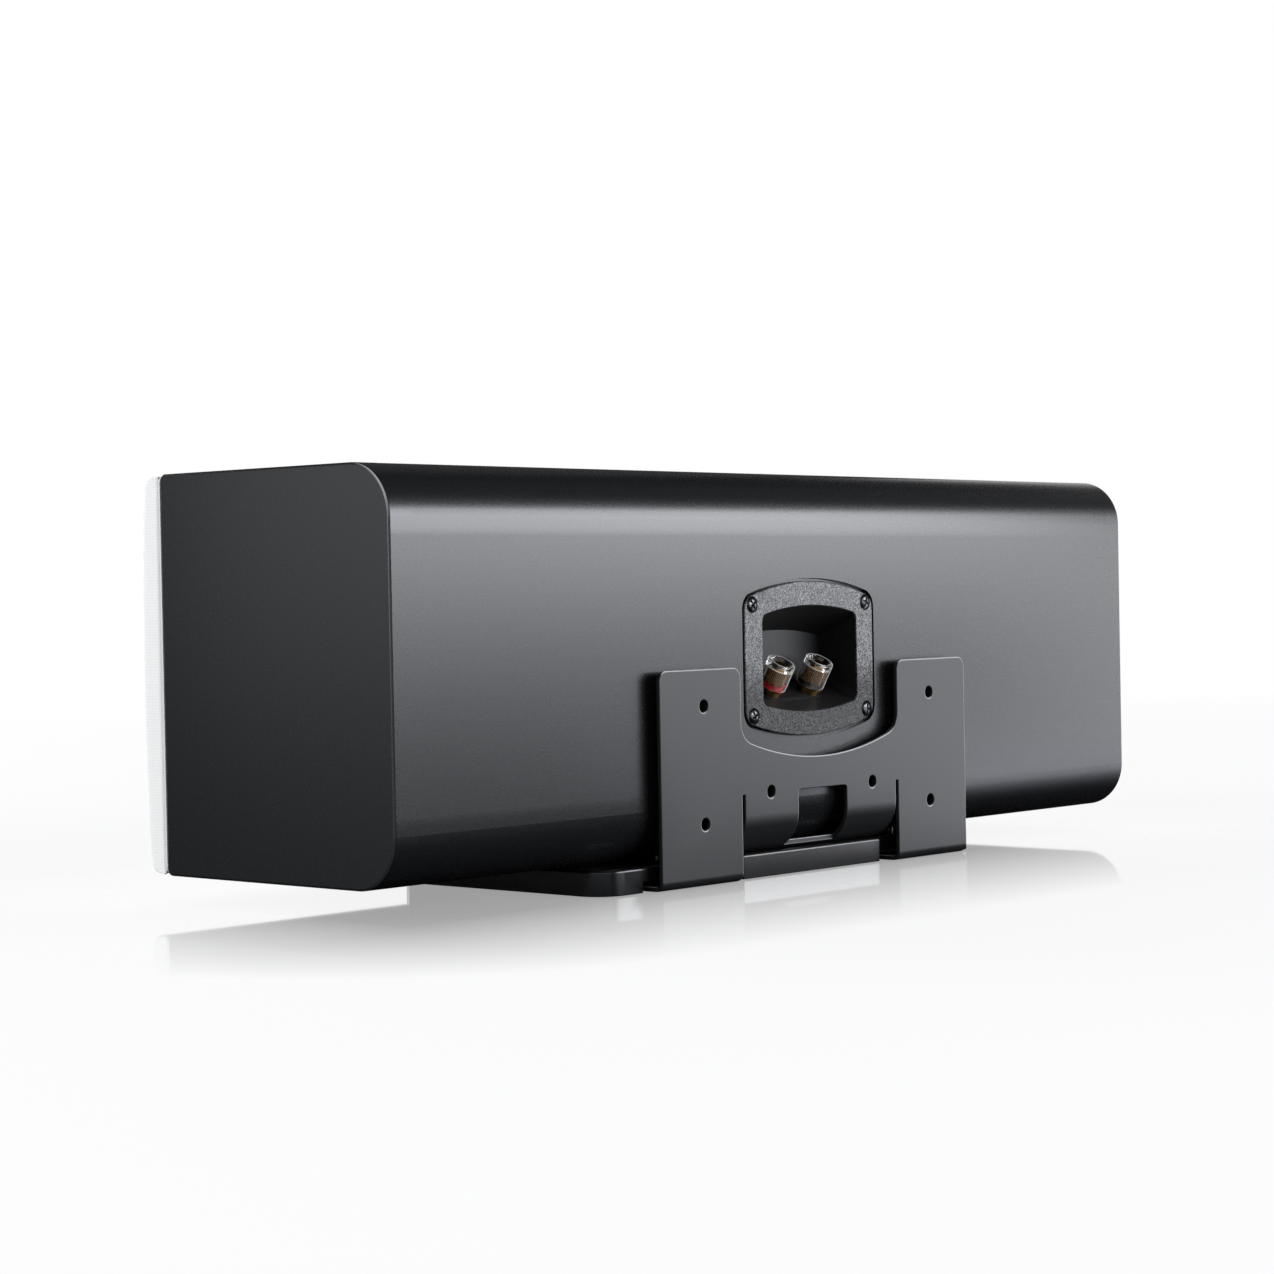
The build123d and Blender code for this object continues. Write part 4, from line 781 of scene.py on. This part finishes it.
def powder_coat():
    """Black powder coat with a fine orange peel, with a painted highlight on edges that face up or outward
    and painted shade (less sheen) on faces that look down.
    """
    made = grained("black_powder_coat", "#1B1C1E", "#212224", 0.9 * mm, 0.48, 0.012 * mm, cool_sheen)
    tree = made.node_tree
    edge = add(tree, "ShaderNodeAttribute", attribute_name="edge")
    facing = add(tree, "ShaderNodeNewGeometry")
    outward = add(tree, "ShaderNodeVectorMath", {1: (-0.7, 0.0, 0.7)}, {0: facing.outputs["Normal"]},
                  operation="DOT_PRODUCT")
    rubbed = add(tree, "ShaderNodeMapRange", {"From Min": -0.05, "From Max": 0.2},
                 {"Value": outward.outputs["Value"]})
    painted_edge_highlight = add(tree, "ShaderNodeMath", None, {0: edge.outputs["Fac"], 1: rubbed.outputs["Result"]},
               operation="MULTIPLY")
    # Painted highlight: bevelled edges that face up or outward are lightened to pale grey.
    tones = add(tree, "ShaderNodeMix", {7: linear("#BCBEC2")},
                {0: painted_edge_highlight.outputs[0], 6: tree.nodes["Mix"].outputs[2]}, data_type="RGBA")
    level = add(tree, "ShaderNodeSeparateXYZ", None, {"Vector": facing.outputs["Normal"]})
    # Painted shade: faces that look down lose most of their sheen.
    sheen = add(tree, "ShaderNodeMapRange", {
        "From Min": -0.3, "From Max": -0.03, "To Min": 0.05, "To Max": 0.5}, {"Value": level.outputs["Z"]})
    tree.links.new(tones.outputs[2], tree.nodes["Principled BSDF"].inputs["Base Color"])
    tree.links.new(sheen.outputs["Result"], tree.nodes["Principled BSDF"].inputs["Specular IOR Level"])
    return made


bracket = eased("mounting_bracket", 0.45 * mm, powder_coat())


# Base plate: a flat moulded foot under the cabinet, slotted below for the bracket's feet.
# Satin black ABS with a fine even texture, screwed to the cabinet from below.
base_abs = grained("satin_base_abs", "#0C0D0E", "#111213", 0.7 * mm, 0.25, 0.003 * mm, cool_sheen)
base = eased("base_plate", 0.4 * mm, base_abs)


# Studio: a pale floor with a faint reflection, a white surround, a long soft box on the far side
# for the sheen on the rear panel, and cards that only reflections show. The black and grey ones
# keep the satin surfaces dark, and a lit patch of table brightens the foot of the rear panel.
footprint = (0.25, 0.073, 0.0)


def seen_directly(tree):
    """1 on rays that show the surround: from the camera, and by gloss or through glass."""
    path = add(tree, "ShaderNodeLightPath")
    mirrored = add(tree, "ShaderNodeMath", None,
                   {0: path.outputs["Is Glossy Ray"], 1: path.outputs["Is Transmission Ray"]},
                   operation="MAXIMUM")
    return add(tree, "ShaderNodeMath", None,
               {0: path.outputs["Is Camera Ray"], 1: mirrored.outputs[0]}, operation="MAXIMUM").outputs[0]


def pale_floor():
    """White floor: soft shadow and a fading reflection near the speaker, plain white further out."""
    made, tree, shader, place = begin("pale_floor", {"Roughness": 0.7})
    seen = seen_directly(tree)
    paint = add(tree, "ShaderNodeMix", {6: linear("#484848"), 7: linear("#F2F2F2")}, {0: seen},
                data_type="RGBA")
    tree.links.new(paint.outputs[2], shader.inputs["Base Color"])
    either_side = add(tree, "ShaderNodeVectorMath", None, {0: place}, operation="ABSOLUTE")
    outside = add(tree, "ShaderNodeVectorMath", {1: footprint}, {0: either_side.outputs["Vector"]},
                  operation="SUBTRACT")
    beyond = add(tree, "ShaderNodeVectorMath", {1: (0.0, 0.0, 0.0)}, {0: outside.outputs["Vector"]},
                 operation="MAXIMUM")
    away = add(tree, "ShaderNodeVectorMath", None, {0: beyond.outputs["Vector"]}, operation="LENGTH")
    share = add(tree, "ShaderNodeMapRange", {
        "From Min": 0.3, "From Max": 1.8, "To Min": 0.75, "To Max": 1.0}, {"Value": away.outputs["Value"]})
    factor = add(tree, "ShaderNodeMath", None, {0: share.outputs["Result"], 1: seen}, operation="MULTIPLY")
    white = add(tree, "ShaderNodeEmission", {"Color": linear("#FFFFFF"), "Strength": 1.0})
    lit = add(tree, "ShaderNodeMixShader", None, {
        0: factor.outputs[0], 1: shader.outputs["BSDF"], 2: white.outputs["Emission"]})
    mirror = add(tree, "ShaderNodeBsdfGlossy", {"Color": linear("#FFFFFF"), "Roughness": 0.04})
    polish = add(tree, "ShaderNodeMapRange", {
        "From Min": 0.0, "From Max": 0.15, "To Min": 0.56, "To Max": 0.0}, {"Value": away.outputs["Value"]})
    low_view = add(tree, "ShaderNodeMapRange", {"From Min": 0.74, "From Max": 0.86},
                   {"Value": add(tree, "ShaderNodeLayerWeight", {"Blend": 0.5}).outputs["Facing"]})
    shown = add(tree, "ShaderNodeMath", None, {0: polish.outputs["Result"], 1: low_view.outputs["Result"]},
                operation="MULTIPLY")
    both = add(tree, "ShaderNodeMixShader", None, {
        0: shown.outputs[0], 1: lit.outputs["Shader"], 2: mirror.outputs["BSDF"]})
    tree.links.new(both.outputs["Shader"], tree.nodes["Material Output"].inputs["Surface"])
    return made


def stage_card(name, corners, finish):
    """A flat four-cornered piece of the stage."""
    mesh = bpy.data.meshes.new(name)
    mesh.from_pydata(corners, [], [(0, 1, 2, 3)])
    mesh.materials.append(finish)
    piece = bpy.data.objects.new(name, mesh)
    bpy.context.scene.collection.objects.link(piece)
    return piece


def lit_table():
    """A lit table top whose glow fades out towards the speaker."""
    made, tree, shader, place = begin("lit_table", {"Emission Color": linear("#F4F6FF")})
    outward = add(tree, "ShaderNodeSeparateXYZ", None, {"Vector": place}).outputs["Y"]
    glow = add(tree, "ShaderNodeMapRange", {"From Min": 0.082, "From Max": 0.17, "To Max": 2.6},
               {"Value": outward}, interpolation_type="SMOOTHSTEP")
    tree.links.new(glow.outputs["Result"], shader.inputs["Emission Strength"])
    return made


def level(reach, z):
    """Corners of a level square that reaches as far to every side."""
    return [(-reach, -reach, z), (reach, -reach, z), (reach, reach, z), (-reach, reach, z)]


def upright(start, end, low, high):
    """Corners of an upright card between two places on the floor."""
    return [(*start, low), (*end, low), (*end, high), (*start, high)]


floor_z = -0.3 * mm
patch_z = -0.5 * mm
table_z = -0.6 * mm
ceiling_z = 2.3
half_width = cad_box[1][0]
visor_low = cad_box[1][2] + 1.0 * mm
visor_high = 0.8
floor = stage_card("floor", level(6.0, floor_z), pale_floor())
floor.visible_glossy = False
card_black = grained("black_card", "#050505", "#080808", 5.0 * mm, 0.9, 0.01 * mm)
visor_grey = grained("visor_grey", "#3E3E3E", "#444444", 5.0 * mm, 0.9, 0.01 * mm)
patch = [(-1.2, 0.08, patch_z), (-0.1, 0.08, patch_z), (-0.5, 0.7, patch_z), (-1.2, 0.7, patch_z)]
for name, finish, corners in (
        ("table_patch", lit_table(), patch),
        ("table_card", card_black, level(3.0, table_z)),
        ("ceiling_card", card_black, level(4.5, ceiling_z)),
        ("far_card", card_black, upright((-1.56, -0.9), (-0.47, -1.74), 0.32, 1.6)),
        ("rear_card", card_black, upright((-3.1, 0.78), (0.65, 3.12), 0.0, ceiling_z)),
        ("front_visor", visor_grey,
         upright((-half_width, -0.09), (half_width, -0.09), visor_low, visor_high)),
        ("end_visor", visor_grey, upright((0.262, -0.08), (0.262, 0.075), visor_low, visor_high)),
        ("visor", visor_grey, upright((-0.7, 0.09), (0.7, 0.09), visor_low, visor_high)),
        ("end_card", card_black, upright((0.62, -0.49), (0.16, -0.88), 0.0, 0.35))):
    card = stage_card(name, corners, finish)
    card.visible_camera = False
    card.visible_diffuse = False
    card.visible_transmission = False
    card.visible_shadow = False

world = bpy.data.worlds.new("surround")
bpy.context.scene.world = world
world.use_nodes = True
sky = world.node_tree
sky.nodes.clear()
ambient = add(sky, "ShaderNodeBackground", {"Color": linear("#F4F6F8"), "Strength": 0.6})
white = add(sky, "ShaderNodeBackground", {"Color": linear("#FFFFFF"), "Strength": 1.0})
surround = add(sky, "ShaderNodeMixShader", None, {
    0: seen_directly(sky), 1: ambient.outputs["Background"], 2: white.outputs["Background"]})
add(sky, "ShaderNodeOutputWorld", None, {"Surface": surround.outputs["Shader"]})


speaker_middle = Vector((0.0, 0.0, 0.09))


def soft_lamp(name, place, width, height, power):
    """A flat soft lamp that faces the speaker."""
    data = bpy.data.lights.new(name, "AREA")
    data.shape = "RECTANGLE"
    data.size = width
    data.size_y = height
    data.energy = power
    lamp = bpy.data.objects.new(name, data)
    bpy.context.scene.collection.objects.link(lamp)
    lamp.location = place
    lamp.rotation_mode = "QUATERNION"
    lamp.rotation_quaternion = (speaker_middle - Vector(place)).to_track_quat("-Z", "Y")
    lamp.visible_camera = False


soft_lamp("rear_soft_box", (-1.185, 1.815, 0.52), width=1.95, height=0.75, power=49.5)
soft_lamp("low_soft_box", (-1.25, 0.53, 0.1), width=0.5, height=0.2, power=1.0)
soft_lamp("end_lamp", (2.1, -0.5, 0.65), width=1.2, height=1.0, power=27.0)
soft_lamp("front_lamp", (0.4, -1.9, 0.7), width=1.2, height=1.0, power=15.0)
soft_lamp("top_lamp", (0.2, 0.1, 1.9), width=2.0, height=2.0, power=1.5)

eye = Vector((0.994041, 0.867396, 0.124967))
azimuth = radians(132.0848)
elevation = radians(0.8920)
roll = radians(-1.0550)
camera_data = bpy.data.cameras.new("photo_view")
camera_data.lens = 80.752
camera_data.sensor_width = 36.0
camera_data.clip_start = 0.01
camera = bpy.data.objects.new("photo_view", camera_data)
bpy.context.scene.collection.objects.link(camera)
back = Vector((sin(azimuth) * cos(elevation), -cos(azimuth) * cos(elevation), sin(elevation)))
level_right = (-back).cross(Vector((0.0, 0.0, 1.0))).normalized()
level_down = (-back).cross(level_right)
right = level_right * cos(roll) - level_down * sin(roll)
down = level_right * sin(roll) + level_down * cos(roll)
turn = Matrix((right, -down, back)).transposed().to_4x4()
camera.matrix_world = Matrix.Translation(eye) @ turn
bpy.context.scene.camera = camera
bpy.context.scene.view_settings.view_transform = "Standard"


bpy.context.view_layer.update()
